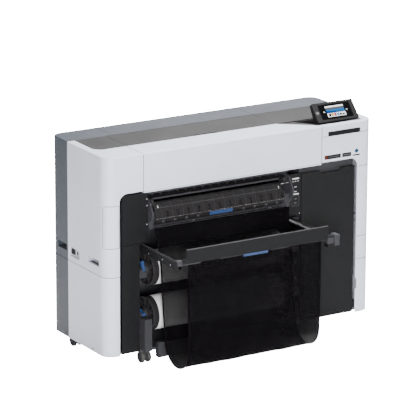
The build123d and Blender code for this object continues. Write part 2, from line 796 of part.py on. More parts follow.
def panel_housing():
    """Wedge-shaped tilting housing with the places of its glass, its button and its hinge."""
    x0, x1 = panel_left, panel_left + panel_width
    case = side_profile([(0, 0), (panel_length, 0), (panel_length, -panel_top_thickness),
                         (panel_heel_slope, -panel_heel_drop), (0, -panel_lip)], x0, x1)
    case = fillet(case.faces().filter_by(Axis.X).edges(), 2)
    case -= block(glass_left, glass_left + glass_width, glass_start, glass_start + glass_length,
                  -glass_thickness, 1)
    case -= rod_z(button_centre, button_slope, -button_height - 3, 1, button_radius + button_clearance)
    middle = panel_left + panel_width / 2
    half = panel_ear_width / 2 + 1
    case -= block(middle - half, middle + half, 2.5, panel_pin_slope + 12, -panel_heel_drop - 1, -6)
    case -= rod_x(middle - half - 7, middle + half + 7, panel_pin_slope, -panel_pin_drop,
                  panel_pin_radius + run_clearance)
    return on_slope(case)


def panel_glass():
    """The black touch glass set flush in the housing."""
    glass = block(glass_left, glass_left + glass_width, glass_start, glass_start + glass_length,
                  -glass_thickness, 0)
    return on_slope(glass)


def power_button():
    """The round power button, which travels into the housing."""
    return on_slope(rod_z(button_centre, button_slope, -button_height, button_proud, button_radius))


# ---- Moving engine parts ------------------------------------------------------------------------
def feed_roller():
    """The long roller that feeds the paper, with its two shaft ends and a pulley."""
    x0, x1 = engine_left + engine_plate, engine_right - engine_plate
    roller = rod_x(x0 + 8, x1 - 8, feed_depth, feed_height, feed_radius)
    roller += rod_x(engine_left - 4, engine_right + 4, feed_depth, feed_height, feed_shaft_radius)
    return roller + rod_x(x0 + 1, x0 + 7, feed_depth, feed_height, feed_radius + 3)


def carriage():
    """The print carriage with its head below and a bore for the rail."""
    x0, x1 = carriage_right - carriage_width, carriage_right
    body = block(x0, x1, carriage_front, carriage_back, carriage_bottom + 10, carriage_top)
    body += block(x0 + 12, x1 - 12, carriage_front + 12, carriage_front + 76, carriage_bottom, carriage_top)
    body -= block(x0, x1, rail_depth - 40, carriage_back, carriage_bottom, carriage_bottom + 24)
    return body - rod_x(x0 - 1, x1 + 1, rail_depth, rail_height, rail_radius + run_clearance)


def guide_outline(offset):
    """The paper guide's (y, z) side line, drawn in from its outside by offset."""
    return [(16 - offset, 698 - offset), (2, 689 - offset), (-13 + offset, 668 - offset),
            (-25 + offset, 636), (-21 + offset, 620), (-4 + offset, 604)]


def paper_guide():
    """The curved guide flap with its slots, ending in a lip that turns back under it."""
    outside = guide_outline(0)
    inside = guide_outline(guide_thickness)
    flap = side_profile(outside + inside[::-1], guide_left, guide_right)
    for index in range(guide_slots):
        x = guide_slot_first + index * guide_slot_pitch
        flap -= block(x - guide_slot_width / 2, x + guide_slot_width / 2, -60, -8, guide_slot_bottom,
                      guide_slot_bottom + guide_slot_length)
    y, z = guide_axis
    for x0, x1 in ((guide_left, guide_left + 14), (guide_right - 14, guide_right)):
        flap += rod_x(x0, x1, y, z, 6) - rod_x(x0, x1, y, z, guide_pin_radius)
    return flap - rod_x(guide_left - 1, guide_right + 1, y, z, guide_pin_radius + run_clearance)


def paper_guide_grip():
    """The blue grip on the front of the guide's lip."""
    x0 = guide_grip_left
    pad = block(x0, x0 + guide_grip_width, -28, -16, 617, 631)
    return pad - side_profile(guide_outline(0) + [(16, 604)], x0 - 1, x0 + guide_grip_width + 1)


# ---- Basket ----------------------------------------------------------------------------------
def basket_rails():
    """The two channels inside the bay that the basket's arms slide in."""
    z0, z1 = arm_bottom - slide_clearance, arm_bottom + arm_height + slide_clearance
    left = block(bay_left, arm_left + 8, base_front, bay_depth - 10, z0 - guide_rail_wall, z1 + guide_rail_wall)
    left -= block(arm_left - slide_clearance, arm_left + 9, 0, bay_depth, z0, z1)
    right = block(arm_right + arm_width - 8, bay_right, base_front, bay_depth - 10,
                  z0 - guide_rail_wall, z1 + guide_rail_wall)
    right -= block(arm_right + arm_width - 9, arm_right + arm_width + slide_clearance, 0, bay_depth, z0, z1)
    return group([left, right])


def basket_arms():
    """Both arms with the corner brackets that hold the bar."""
    y0 = -basket_reach
    arms = []
    for x, bracket_left, bracket_right in ((arm_left, arm_left - 4, bar_left),
                                           (arm_right, bar_right, arm_right + arm_width + 6)):
        arm = block(x, x + arm_width, y0, arm_inner_end, arm_bottom, arm_bottom + arm_height)
        bracket = block(bracket_left, bracket_right, y0 - bar_thickness, y0 + 24,
                        bracket_bottom, arm_bottom + arm_height + 6)
        arms.append(arm + bracket)
    return group(arms)


def basket_bar():
    """The long front bar between the brackets, lower at its left end."""
    top = bar_bottom + bar_height
    bar = block(bar_left, bar_right, front_limit, -basket_reach, bar_bottom, top)
    return bar - block(bar_left, bar_left + bar_notch, front_limit, -basket_reach, bar_notch_bottom, top)


def basket_bar_grip():
    """The blue grip along the bar's lower edge."""
    x0 = paper_centre - 58
    return block(x0, x0 + 116, front_limit, -basket_reach, bar_bottom - 10, bar_bottom)


def basket_back_cloth():
    """The cloth's rear fall, from under the engine to the bottom of the basket."""
    rear = [(y + cloth, z) for y, z in reversed(cloth_back_line)]
    return side_profile(cloth_back_line + rear, cloth_left, cloth_left + cloth_width)


def basket_bottom_cloth():
    """The rounded bottom of the basket's cloth."""
    y_back = cloth_back_line[-1][0]
    y_front = -basket_reach
    radius = (y_back - y_front) / 2
    y = (y_back + y_front) / 2
    x1 = cloth_left + cloth_width
    half = rod_x(cloth_left, x1, y, cloth_bottom_height, radius)
    half -= rod_x(cloth_left, x1, y, cloth_bottom_height, radius - cloth)
    gap = 0.5
    return half & block(cloth_left, x1, y - radius, y + radius, 0, cloth_bottom_height - gap)


def basket_front_cloth():
    """The cloth's front fall, below the bar."""
    return block(cloth_left, cloth_left + cloth_width, -basket_reach, -basket_reach + cloth,
                 cloth_bottom_height, bar_bottom + 6)


# ---- Casters ---------------------------------------------------------------------------------
def caster_swivel(x, y):
    """A caster's stem, plate and neck, with the axle's bore ahead of the stem."""
    top = body_bottom
    stem = rod_z(x, y, top - caster_plate, top + base_thickness - 2, caster_stem_radius)
    plate = rod_z(x, y, top - 0.3 - caster_plate, top - 0.3, caster_plate_radius)
    neck = block(x - caster_neck / 2, x + caster_neck / 2, y - caster_trail - 8, y + 10,
                 wheel_radius - 8, top - caster_plate)
    neck += block(x - caster_neck / 2, x + caster_neck / 2, y - caster_trail - 22, y + 10,
                  2 * wheel_radius + 1.5, top - caster_plate)
    swivel = stem + plate + neck
    return swivel - rod_x(x - 20, x + 20, y - caster_trail, wheel_radius, wheel_axle_radius + run_clearance)


def caster_wheels(x, y):
    """A caster's two wheels on one axle."""
    side_gap = 1.0
    inner = caster_neck / 2 + side_gap
    outer = inner + wheel_width
    centre = y - caster_trail
    pair = rod_x(x - outer, x + outer, centre, wheel_radius, wheel_axle_radius)
    for sign in (-1, 1):
        ends = sorted((x + sign * inner, x + sign * outer))
        wheel = rod_x(*ends, centre, wheel_radius, wheel_radius)
        pair += fillet(wheel.edges().filter_by(GeomType.CIRCLE), 3)
    return pair


# ---- Output ----------------------------------------------------------------------------------
def finish(name, shape):
    """Moves a piece to the part's origin and writes it."""
    export_step(Pos(-body_width / 2, -footprint_centre, 0) * shape, f"parts/{name}.step")


def main():
    """Builds every piece."""
    os.makedirs("parts", exist_ok=True)
    single_pieces = [
        base_tray, bay_frame, engine_chassis, platen, carriage_rail, hinge_pins,
        casing_left_lower, casing_left_upper, casing_right_lower, casing_right_middle, casing_right_upper,
        rear_casing_left, rear_casing_right, rear_casing_centre, rear_panel, roof_left, roof_right,
        panel_bed, column_left_lower, column_left_upper, column_right, side_grips, port_panel, power_inlet,
        ink_bay, ink_tanks, bottom_guard, roll_holders,
        cover_shell, cover_roof, left_door, ink_cover, panel_housing, panel_glass, power_button,
        feed_roller, carriage, paper_guide, paper_guide_grip, basket_rails, basket_arms, basket_bar,
        basket_bar_grip, basket_back_cloth, basket_bottom_cloth, basket_front_cloth]
    for piece in single_pieces:
        finish(piece.__name__, piece())
    for level, z in roll_heights.items():
        finish(f"{level}_roll_paper", paper_roll(z))
        finish(f"{level}_roll_adapters", roll_adapters(z))
        finish(f"{level}_roll_lever", roll_lever(z, lever_leans[level]))
    for place, (x, y) in casters.items():
        finish(f"caster_{place}", caster_swivel(x, y))
        finish(f"caster_{place}_wheels", caster_wheels(x, y))


main()
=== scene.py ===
"""Large format plotter: finishes, basket cloth, prints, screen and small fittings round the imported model."""
import json
from math import cos, pi, radians, sin

import bmesh
import bpy
import numpy as np
from bpy.props import FloatProperty, FloatVectorProperty, IntProperty, PointerProperty
from mathutils import Matrix, Vector


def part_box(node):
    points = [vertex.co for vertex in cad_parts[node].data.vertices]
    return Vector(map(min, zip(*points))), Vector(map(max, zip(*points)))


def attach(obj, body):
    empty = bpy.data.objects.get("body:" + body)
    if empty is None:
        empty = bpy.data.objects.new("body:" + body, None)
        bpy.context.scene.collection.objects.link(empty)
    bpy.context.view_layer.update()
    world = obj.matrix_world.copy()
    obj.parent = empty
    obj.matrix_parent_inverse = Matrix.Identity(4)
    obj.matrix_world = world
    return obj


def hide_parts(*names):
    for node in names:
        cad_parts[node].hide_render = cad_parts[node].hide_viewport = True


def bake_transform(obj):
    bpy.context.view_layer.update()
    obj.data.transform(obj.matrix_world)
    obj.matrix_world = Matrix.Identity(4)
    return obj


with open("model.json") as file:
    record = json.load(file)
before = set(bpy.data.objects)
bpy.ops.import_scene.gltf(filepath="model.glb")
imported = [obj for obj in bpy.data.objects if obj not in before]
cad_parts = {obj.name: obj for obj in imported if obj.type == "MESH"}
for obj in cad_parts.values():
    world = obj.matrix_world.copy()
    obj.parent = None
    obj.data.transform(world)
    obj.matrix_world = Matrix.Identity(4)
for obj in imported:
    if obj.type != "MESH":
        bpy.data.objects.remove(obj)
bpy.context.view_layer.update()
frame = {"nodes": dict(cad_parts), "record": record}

bl_info = {
    "name": "Large Format Plotter",
    "version": (1, 0, 0),
    "blender": (4, 5, 0),
    "location": "View3D > Sidebar > Plotter",
    "description": "Builds the finishes, the paper basket's cloth and the small fittings of a plotter",
    "category": "Object",
}

MM = 0.001
WELD = 1e-6                  # points nearer than this are one point
SMOOTH_ANGLE = radians(38)   # edges sharper than this stay sharp
PRINT = 0.25 * MM            # how proud a printed mark or a label stands
PANEL_TILT = radians(48.5)   # slope of the control panel's face above level
SCREEN = np.array([91.0, 51.5]) * MM      # the lit screen's width and height
FIRST_SLOT, SLOT_PITCH, SLOTS = 278.0, 50.3, 12      # the paper guide's slots, in millimetres across
CASING_CORNER = 50.0         # radius of the casing's upright front corners, in millimetres
CASING_TOP = 913.02          # just above the casing's top, in millimetres
REAR_JOINT = 324.4           # how far back the front and rear casings meet, in millimetres
SHADE_STRIP_PROUD = 0.12            # how far a flat strip of painted seam shade stands out of a cover, in millimetres
FLOOR_GLOW = 30.0            # strong enough to stay white in the picture


def corners(node):
    """The lowest and highest corner of a node as arrays."""
    low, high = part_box(node)
    return np.array(low), np.array(high)


CASING_LEFT, CASING_FRONT = corners("casing_left_upper")[0][:2]


def at(across, back, up):
    """A place in the frame from millimetres across from the casing's left side, back from its front
    face and up from the floor."""
    return np.array([CASING_LEFT + across * MM, CASING_FRONT + back * MM, up * MM])


# ---- Settings ---------------------------------------------------------------------------------
def colour(name, description, value):
    """A colour that a user may change."""
    return FloatVectorProperty(name=name, description=description, default=value, size=3, min=0.0, max=1.0,
                               subtype="COLOR")


def length(name, description, value):
    """A length in metres that a user may change."""
    return FloatProperty(name=name, description=description, default=value, min=0.0, unit="LENGTH",
                         precision=5)


class PlotterColours(bpy.types.PropertyGroup):
    """The base colour of each finish."""
    white: colour("White covers", "Front and side covers", (0.7, 0.72, 0.82))
    rear: colour("Rear covers", "Blue-grey rear covers", (0.044, 0.053, 0.069))
    roof: colour("Roof", "Warm grey roof", (0.027, 0.026, 0.0268))
    dark: colour("Dark covers", "Charcoal covers in the recess", (0.0068, 0.007, 0.0078))
    black: colour("Black plastic", "Guide, holders and panel", (0.0042, 0.004, 0.0046))
    guide: colour("Paper guide", "Warm charcoal guide flap", (0.0125, 0.0115, 0.012))
    housing: colour("Panel housing", "Charcoal control panel housing", (0.012, 0.0115, 0.0122))
    blue: colour("Blue grips", "Parts that a hand touches", (0.015, 0.042, 0.125))
    steel: colour("Dark steel", "Painted frame plates", (0.0055, 0.0055, 0.0062))
    bright: colour("Bright steel", "Shafts and screws", (0.55, 0.55, 0.56))
    paper: colour("Paper", "Wound rolls", (0.78, 0.775, 0.77))
    flange: colour("Roll ends", "Roll end flanges", (0.016, 0.0145, 0.0155))
    cloth: colour("Cloth", "Woven basket cloth", (0.0019, 0.0014, 0.0021))
    tyre: colour("Tyres", "Caster wheels", (0.015, 0.015, 0.016))
    ink: colour("Ink packs", "Ink pack cases", (0.12, 0.12, 0.13))
    mark: colour("Printed marks", "Pale printed marks", (0.6, 0.6, 0.6))


class PlotterSizes(bpy.types.PropertyGroup):
    """The sizes of the cloth and of the camera's view."""
    thread: length("Thread pitch", "Distance between the cloth's threads", 1.4 * MM)
    cloth_wall: length("Cloth thickness", "Thickness of the basket's cloth", 0.6 * MM)
    hem: length("Hem width", "Width of the cloth's side hems", 7.0 * MM)
    cloth_cover: FloatProperty(name="Cloth cover", description="Share of light that one face stops",
                               default=0.58, min=0.0, max=1.0, subtype="FACTOR")
    cloth_rows: IntProperty(name="Cloth rows", description="Rows of quads along the cloth", default=170,
                            min=20, max=400)
    camera_azimuth: FloatProperty(name="Camera azimuth", description="Turn of the view round the plotter",
                                  default=0.5443, subtype="ANGLE")
    camera_elevation: FloatProperty(name="Camera elevation", description="Height of the view above level",
                                    default=0.2827, subtype="ANGLE")
    camera_roll: FloatProperty(name="Camera roll", description="Turn of the picture", default=0.0045,
                               subtype="ANGLE")
    camera_distance: length("Camera distance", "From the aim to the camera", 12.6)
    lens: FloatProperty(name="Lens", description="Focal length in millimetres", default=257.73, min=10.0)


class PlotterSettings(bpy.types.PropertyGroup):
    """Everything that a user may change."""
    colours: PointerProperty(type=PlotterColours, name="Colours", description="Base colours")
    sizes: PointerProperty(type=PlotterSizes, name="Sizes", description="Cloth and camera")


# ---- Shapes: arrays of points and faces ---------------------------------------------------------
def grid(rows, columns, close_rows=False, close_columns=False):
    """Quads between neighbouring points of a grid that is stored row by row; closing an axis joins its
    last line of points to its first."""
    row = np.arange(rows if close_rows else rows - 1)
    column = np.arange(columns if close_columns else columns - 1)
    row, column = np.meshgrid(row, column, indexing="ij")
    next_row, next_column = (row + 1) % rows, (column + 1) % columns
    quads = [row * columns + column, row * columns + next_column,
             next_row * columns + next_column, next_row * columns + column]
    return np.stack(quads, -1).reshape(-1, 4).tolist()


def joined(shapes):
    """Several shapes as one: each face's numbers grow by the points that come before it."""
    points, faces, count = [], [], 0
    for shape_points, shape_faces in shapes:
        points.append(shape_points)
        faces += [[index + count for index in face] for face in shape_faces]
        count += len(shape_points)
    return np.vstack(points), faces


def rounded_box(low, high, radius, steps=3):
    """A box with round edges: a sphere of the given radius, cut into octants, and each octant moved out
    to its own corner of the box drawn in by the radius."""
    low, high = np.minimum(low, high), np.maximum(low, high)
    centre, half = (low + high) / 2, (high - low) / 2
    radius = min(radius, 0.98 * half.min())
    turn = np.linspace(0, pi / 2, steps + 1)
    around = (turn + np.arange(4)[:, None] * pi / 2).ravel()
    rise = np.concatenate([turn - pi / 2, turn])
    quarter = np.repeat(np.arange(4), steps + 1)
    side_x = np.array([1, -1, -1, 1])[quarter]
    side_y = np.array([1, 1, -1, -1])[quarter]
    side_z = np.repeat([-1, 1], steps + 1)
    rows, columns = len(rise), len(around)
    shape = (rows, columns)
    direction = np.stack([np.cos(rise)[:, None] * np.cos(around), np.cos(rise)[:, None] * np.sin(around),
                          np.broadcast_to(np.sin(rise)[:, None], shape)], -1)
    octant = np.stack([np.broadcast_to(side_x, shape), np.broadcast_to(side_y, shape),
                       np.broadcast_to(side_z[:, None], shape)], -1)
    points = centre + radius * direction + (half - radius) * octant
    ends = [quarter_start * (steps + 1) for quarter_start in range(4)]
    caps = [ends[::-1], [(rows - 1) * columns + end for end in ends]]
    return points.reshape(-1, 3), grid(rows, columns, close_columns=True) + caps


def unit(vector):
    """A vector of length one."""
    vector = np.array(vector, float)
    return vector / np.linalg.norm(vector)


def lathe(profile, centre, axis, steps=40):
    """A profile of (radius, distance along the axis) turned a full circle about the axis."""
    profile, axis = np.array(profile, float), unit(axis)
    side = unit(np.cross(axis, [0.31, 0.83, 0.46]))
    turn = np.arange(steps) * 2 * pi / steps
    ring = np.cos(turn)[:, None] * side + np.sin(turn)[:, None] * np.cross(axis, side)
    points = np.array(centre) + profile[:, 0, None, None] * ring + profile[:, 1, None, None] * axis
    return points.reshape(-1, 3), grid(len(profile), steps, close_columns=True)


def prism(outline, origin, across, up, out):
    """A closed outline of (across, up) lengths carried along out, with both ends closed."""
    outline = np.array(outline, float)
    base = np.array(origin) + outline[:, :1] * np.array(across) + outline[:, 1:] * np.array(up)
    count = len(outline)
    points = np.vstack([base, base + np.array(out)])
    caps = [list(range(count))[::-1], list(range(count, 2 * count))]
    return points, grid(2, count, close_columns=True) + caps


def along_x(outline, start, end):
    """A closed outline of (back, up) millimetres from the casing's front and the floor, carried between
    two places across."""
    return prism(np.array(outline) * MM, at(start, 0, 0), (0, 1, 0), (0, 0, 1), ((end - start) * MM, 0, 0))


def rounded_outline(width, height, radius, steps=4):
    """A rectangle about its centre with a quarter circle at each corner."""
    turn = (np.linspace(0, pi / 2, steps + 1) + np.arange(4)[:, None] * pi / 2).ravel()
    quarter = np.repeat(np.arange(4), steps + 1)
    side = np.stack([np.array([1, -1, -1, 1])[quarter], np.array([1, 1, -1, -1])[quarter]], -1)
    half = np.array([width, height]) / 2 - radius
    return side * half + radius * np.stack([np.cos(turn), np.sin(turn)], -1)


def band(outer, inner, origin, across, up, out):
    """A closed frame between two outlines with the same number of points, as thick as out."""
    loops = []
    for outline, lift in ((outer, 0), (outer, 1), (inner, 1), (inner, 0)):
        outline = np.array(outline, float)
        loops.append(np.array(origin) + outline[:, :1] * np.array(across) + outline[:, 1:] * np.array(up)
                     + lift * np.array(out))
    return np.vstack(loops), grid(4, len(outer), True, True)


def strip(path, width_vector, thickness_vectors):
    """A closed flat strip along a path: each point of the path is moved by nothing, by the strip's width,
    by both its width and its thickness, and by its thickness."""
    path, thick = np.array(path, float), np.array(thickness_vectors, float)
    width = np.array(width_vector, float)
    loops = [path, path + width, path + width + thick, path + thick]
    points = np.stack(loops, 1).reshape(-1, 3)
    rows = len(path)
    caps = [[0, 1, 2, 3], [4 * rows - 1, 4 * rows - 2, 4 * rows - 3, 4 * rows - 4]]
    return points, grid(rows, 4, close_columns=True) + caps


def screw(centre, outward, radius):
    """A cheese-head screw with a round socket: a small turned profile that faces outward."""
    profile = [(0, 0), (1, 0), (1, 0.35), (0.85, 0.5), (0.42, 0.5), (0.36, 0.1), (0, 0.1)]
    return lathe(np.array(profile) * radius, centre, outward, steps=20)


def toothed_disc(centre, axis, root, tip, thickness, teeth):
    """A gear: its edge runs between the root and the tip radius as a squared wave of the angle."""
    steps = teeth * 6
    turn = np.arange(steps) * 2 * pi / steps
    radius = np.where((np.arange(steps) % 6) < 3, tip, root)
    return prism(np.stack([radius * np.cos(turn), radius * np.sin(turn)], -1),
                 np.array(centre) - unit(axis) * thickness / 2, *plane_of(axis), unit(axis) * thickness)


def plane_of(axis):
    """Two directions square to an axis and to each other."""
    axis = unit(axis)
    side = unit(np.cross(axis, [0, 0, 1])) if abs(axis[2]) < 0.9 else np.array([1.0, 0, 0])
    return side, np.cross(axis, side)


# ---- Pieces ---------------------------------------------------------------------------------------
def piece(name, shape, finish, body, bevel=0.0):
    """Makes one object from a shape, gives it a finish and a body, and smooths it between sharp edges."""
    points, faces = shape
    mesh = bpy.data.meshes.new(name)
    mesh.from_pydata(points.tolist(), [], faces)
    work = bmesh.new()
    work.from_mesh(mesh)
    bmesh.ops.remove_doubles(work, verts=work.verts, dist=WELD)
    bmesh.ops.recalc_face_normals(work, faces=work.faces)
    work.to_mesh(mesh)
    work.free()
    mesh.shade_smooth()
    mesh.set_sharp_from_angle(angle=SMOOTH_ANGLE)
    mesh.materials.append(bpy.data.materials[finish])
    obj = bpy.data.objects.new(name, mesh)
    bpy.context.scene.collection.objects.link(obj)
    if bevel:
        rounding = obj.modifiers.new("Rounded edges", "BEVEL")
        rounding.width = bevel
        rounding.segments = 2
        rounding.limit_method = "ANGLE"
        rounding.angle_limit = SMOOTH_ANGLE
    if body:
        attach(obj, body)
    return obj


def map_points(mesh, name, places):
    """A UV map that gives every face corner its point's place on the sheet."""
    loop_points = np.zeros(len(mesh.loops), np.int32)
    mesh.loops.foreach_get("vertex_index", loop_points)
    mesh.uv_layers.new(name=name).data.foreach_set("uv", places[loop_points].ravel())


def mesh_points(mesh):
    """The mesh's points as rows."""
    points = np.zeros(len(mesh.vertices) * 3)
    mesh.vertices.foreach_get("co", points)
    return points.reshape(-1, 3)


# ---- Shader trees -----------------------------------------------------------------------------
class Tree:
    """Short calls that add nodes to one shader tree."""

    def __init__(self, tree):
        self.tree = tree

    def add(self, kind, sockets=None, **settings):
        """A node with its settings, then its sockets, each a value or a link."""
        node = self.tree.nodes.new(kind)
        for name, value in settings.items():
            setattr(node, name, value)
        for key, value in (sockets or {}).items():
            if isinstance(value, bpy.types.NodeSocket):
                self.tree.links.new(value, node.inputs[key])
            else:
                node.inputs[key].default_value = value
        return node

    def math(self, operation, first, second=0.0, third=0.0, clamp=False):
        """The result of a Math node."""
        return self.add("ShaderNodeMath", {0: first, 1: second, 2: third}, operation=operation,
                        use_clamp=clamp).outputs[0]

    def mix(self, factor, first, second, blend="MIX"):
        """The result of a colour Mix node."""
        return self.add("ShaderNodeMix", {0: factor, 6: first, 7: second}, data_type="RGBA",
                        blend_type=blend).outputs[2]

    def remap(self, value, low, high, new_low=0.0, new_high=1.0):
        """A value moved from one range to another and held inside it."""
        return self.add("ShaderNodeMapRange", {0: value, 1: low, 2: high, 3: new_low, 4: new_high}).outputs[0]

    def noise(self, vector, scale, detail=2.0, roughness=0.5):
        """A noise value between 0 and 1."""
        return self.add("ShaderNodeTexNoise", {"Vector": vector, "Scale": scale, "Detail": detail,
                                               "Roughness": roughness}).outputs[0]

    def place(self):
        """The piece's own coordinates, in metres."""
        return self.add("ShaderNodeTexCoord").outputs["Object"]

    def group(self, name, sockets):
        """One of the shared effects."""
        return self.add("ShaderNodeGroup", sockets, node_tree=bpy.data.node_groups[name]).outputs


def effect(name, inputs, outputs):
    """An empty node group with named inputs and outputs: (tree, its inputs, its output node)."""
    group = bpy.data.node_groups.new(name, "ShaderNodeTree")
    for socket, kind, value in inputs:
        group.interface.new_socket(name=socket, in_out="INPUT", socket_type=kind).default_value = value
    for socket, kind in outputs:
        group.interface.new_socket(name=socket, in_out="OUTPUT", socket_type=kind)
    tree = Tree(group)
    return tree, tree.add("NodeGroupInput").outputs, tree.add("NodeGroupOutput")


FLOAT, VECTOR = "NodeSocketFloat", "NodeSocketVector"


def grain_effect():
    """Moulded grain: a fine noise for the height, and a broad one for patches of tone."""
    tree, given, out = effect("Moulded grain", [("Scale", FLOAT, 900.0)],
                              [("Height", FLOAT), ("Patches", FLOAT)])
    place = tree.place()
    tree.tree.links.new(tree.noise(place, given["Scale"], 3.0, 0.6), out.inputs["Height"])
    tree.tree.links.new(tree.noise(place, 3.5, 3.0), out.inputs["Patches"])


def edge_effect():
    """Edge wear: where the rounded normal turns away from the face's own, broken up by noise."""
    tree, given, out = effect("Edge wear", [("Radius", FLOAT, 0.001)], [("Mask", FLOAT), ("Normal", VECTOR)])
    rounded = tree.add("ShaderNodeBevel", {"Radius": given["Radius"]}, samples=4).outputs[0]
    flat = tree.add("ShaderNodeNewGeometry").outputs["Normal"]
    turned = tree.add("ShaderNodeVectorMath", {0: rounded, 1: flat}, operation="DOT_PRODUCT").outputs["Value"]
    bent = tree.remap(turned, 1.0, 0.86)
    broken = tree.remap(tree.noise(tree.place(), 60.0, 4.0, 0.7), 0.35, 0.7)
    tree.tree.links.new(tree.math("MULTIPLY", bent, broken), out.inputs["Mask"])
    tree.tree.links.new(rounded, out.inputs["Normal"])


def dust_effect():
    """Dust: on faces that look up, and low down near the floor, in cloudy patches."""
    tree, given, out = effect("Dust", [("Amount", FLOAT, 0.1)], [("Mask", FLOAT)])
    normal = tree.add("ShaderNodeSeparateXYZ", {0: tree.add("ShaderNodeNewGeometry").outputs["Normal"]})
    place = tree.place()
    height = tree.add("ShaderNodeSeparateXYZ", {0: place}).outputs[2]
    upward = tree.remap(normal.outputs[2], 0.6, 1.0)
    low = tree.remap(height, 0.16, 0.02)
    cloud = tree.remap(tree.noise(place, 9.0, 5.0, 0.65), 0.35, 0.75)
    both = tree.math("MULTIPLY", tree.math("MAXIMUM", upward, low), cloud)
    tree.tree.links.new(tree.math("MULTIPLY", both, given["Amount"]), out.inputs["Mask"])


def weave_effect():
    """Plain weave on a sheet's own map: warp and weft are two sets of half sine waves, and one passes
    over the other on every second crossing."""
    tree, given, out = effect("Plain weave", [("Pitch", FLOAT, 0.001)],
                              [("Height", FLOAT), ("Thread", FLOAT)])
    sheet = tree.add("ShaderNodeSeparateXYZ", {0: tree.add("ShaderNodeUVMap").outputs[0]})
    waves = []
    for axis in (0, 1):
        turns = tree.math("MULTIPLY", tree.math("DIVIDE", sheet.outputs[axis], given["Pitch"]), pi)
        waves.append(tree.math("ABSOLUTE", tree.math("SINE", turns)))
    warp, weft = waves
    both = tree.math("ADD", tree.math("DIVIDE", sheet.outputs[0], given["Pitch"]),
                     tree.math("DIVIDE", sheet.outputs[1], given["Pitch"]))
    over = tree.math("GREATER_THAN", tree.math("SINE", tree.math("MULTIPLY", both, pi)), 0.0)
    height = tree.add("ShaderNodeMix", {0: over, 2: warp, 3: weft}).outputs[0]
    tree.tree.links.new(height, out.inputs["Height"])
    tree.tree.links.new(tree.math("MAXIMUM", warp, weft), out.inputs["Thread"])


def material(name):
    """A new material's tree and its Principled node."""
    made = bpy.data.materials.new(name)
    made.use_nodes = True
    return Tree(made.node_tree), made.node_tree.nodes["Principled BSDF"]


def connect(tree, shader, **links):
    """Links values to the shader's sockets, whose names have spaces in place of underscores."""
    for socket, value in links.items():
        tree.tree.links.new(value, shader.inputs[socket.replace("_", " ")])


def tone(value, factor):
    """A colour made darker or lighter, with its alpha."""
    return (*(min(1.0, channel * factor) for channel in value[:3]), 1.0)


def moulded(name, base, roughness, grain=900.0, depth=0.05, edge=0.0012, wear=0.25, wear_tone=1.6, dust=0.1,
            gloss=0.5, dust_colour=(0.42, 0.4, 0.37, 1.0)):
    """Moulded plastic: patches of tone, grain, soft worn edges and dust."""
    tree, shader = material(name)
    texture = tree.group("Moulded grain", {"Scale": grain})
    edges = tree.group("Edge wear", {"Radius": edge})
    dusty = tree.group("Dust", {"Amount": dust})
    body = tree.mix(tree.remap(texture["Patches"], 0.3, 0.7), tone(base, 0.95), tone(base, 1.04))
    worn = tree.mix(tree.math("MULTIPLY", edges["Mask"], wear), body, tone(base, wear_tone))
    connect(tree, shader, Base_Color=tree.mix(dusty["Mask"], worn, dust_colour))
    uneven = tree.remap(texture["Patches"], 0.2, 0.8, roughness - 0.04, roughness + 0.05)
    connect(tree, shader, Roughness=tree.math("ADD", uneven, tree.math("MULTIPLY", dusty["Mask"], 0.5)))
    bump = tree.add("ShaderNodeBump", {"Height": texture["Height"], "Normal": edges["Normal"],
                                       "Strength": 0.5, "Distance": depth * MM})
    connect(tree, shader, Normal=bump.outputs[0])
    shader.inputs["Specular IOR Level"].default_value = gloss
    return shader


def grip_cups(front, rear):
    """The cups in the side walls: the front pair has the front casing's colour darkened to 0.62 and the rear
    pair the rear casing's colour darkened to 0.7, both as painted shade inside the recesses."""
    shader = moulded("grip_cups", front, 0.42, dust=0.03)
    tree = Tree(shader.id_data)
    back = tree.add("ShaderNodeSeparateXYZ", {0: tree.place()}).outputs[1]
    behind = tree.math("GREATER_THAN", back, float(at(0, 250, 0)[1]))
    # darkened casing colours, front and rear: painted shade in the grip recesses
    connect(tree, shader, Base_Color=tree.mix(behind, tone(front, 0.62), tone(rear, 0.7)))


def brushed(name, base, roughness, metallic, gloss=0.5):
    """Brushed or painted steel: noise drawn out across the machine for its lines and its roughness."""
    tree, shader = material(name)
    drawn = tree.add("ShaderNodeMapping", {"Vector": tree.place(), "Scale": (12.0, 900.0, 900.0)}).outputs[0]
    lines = tree.noise(drawn, 1.0, 4.0, 0.7)
    edges = tree.group("Edge wear", {"Radius": 0.0006})
    body = tree.mix(lines, tone(base, 0.8), tone(base, 1.15))
    worn = tree.mix(tree.math("MULTIPLY", edges["Mask"], 0.4), body, tone(base, 1.9))
    connect(tree, shader, Base_Color=worn)
    connect(tree, shader, Roughness=tree.remap(lines, 0.0, 1.0, roughness - 0.06, roughness + 0.1))
    shader.inputs["Metallic"].default_value = metallic
    shader.inputs["Specular IOR Level"].default_value = gloss
    bump = tree.add("ShaderNodeBump", {"Height": lines, "Normal": edges["Normal"], "Strength": 0.3,
                                       "Distance": 0.03 * MM})
    connect(tree, shader, Normal=bump.outputs[0])


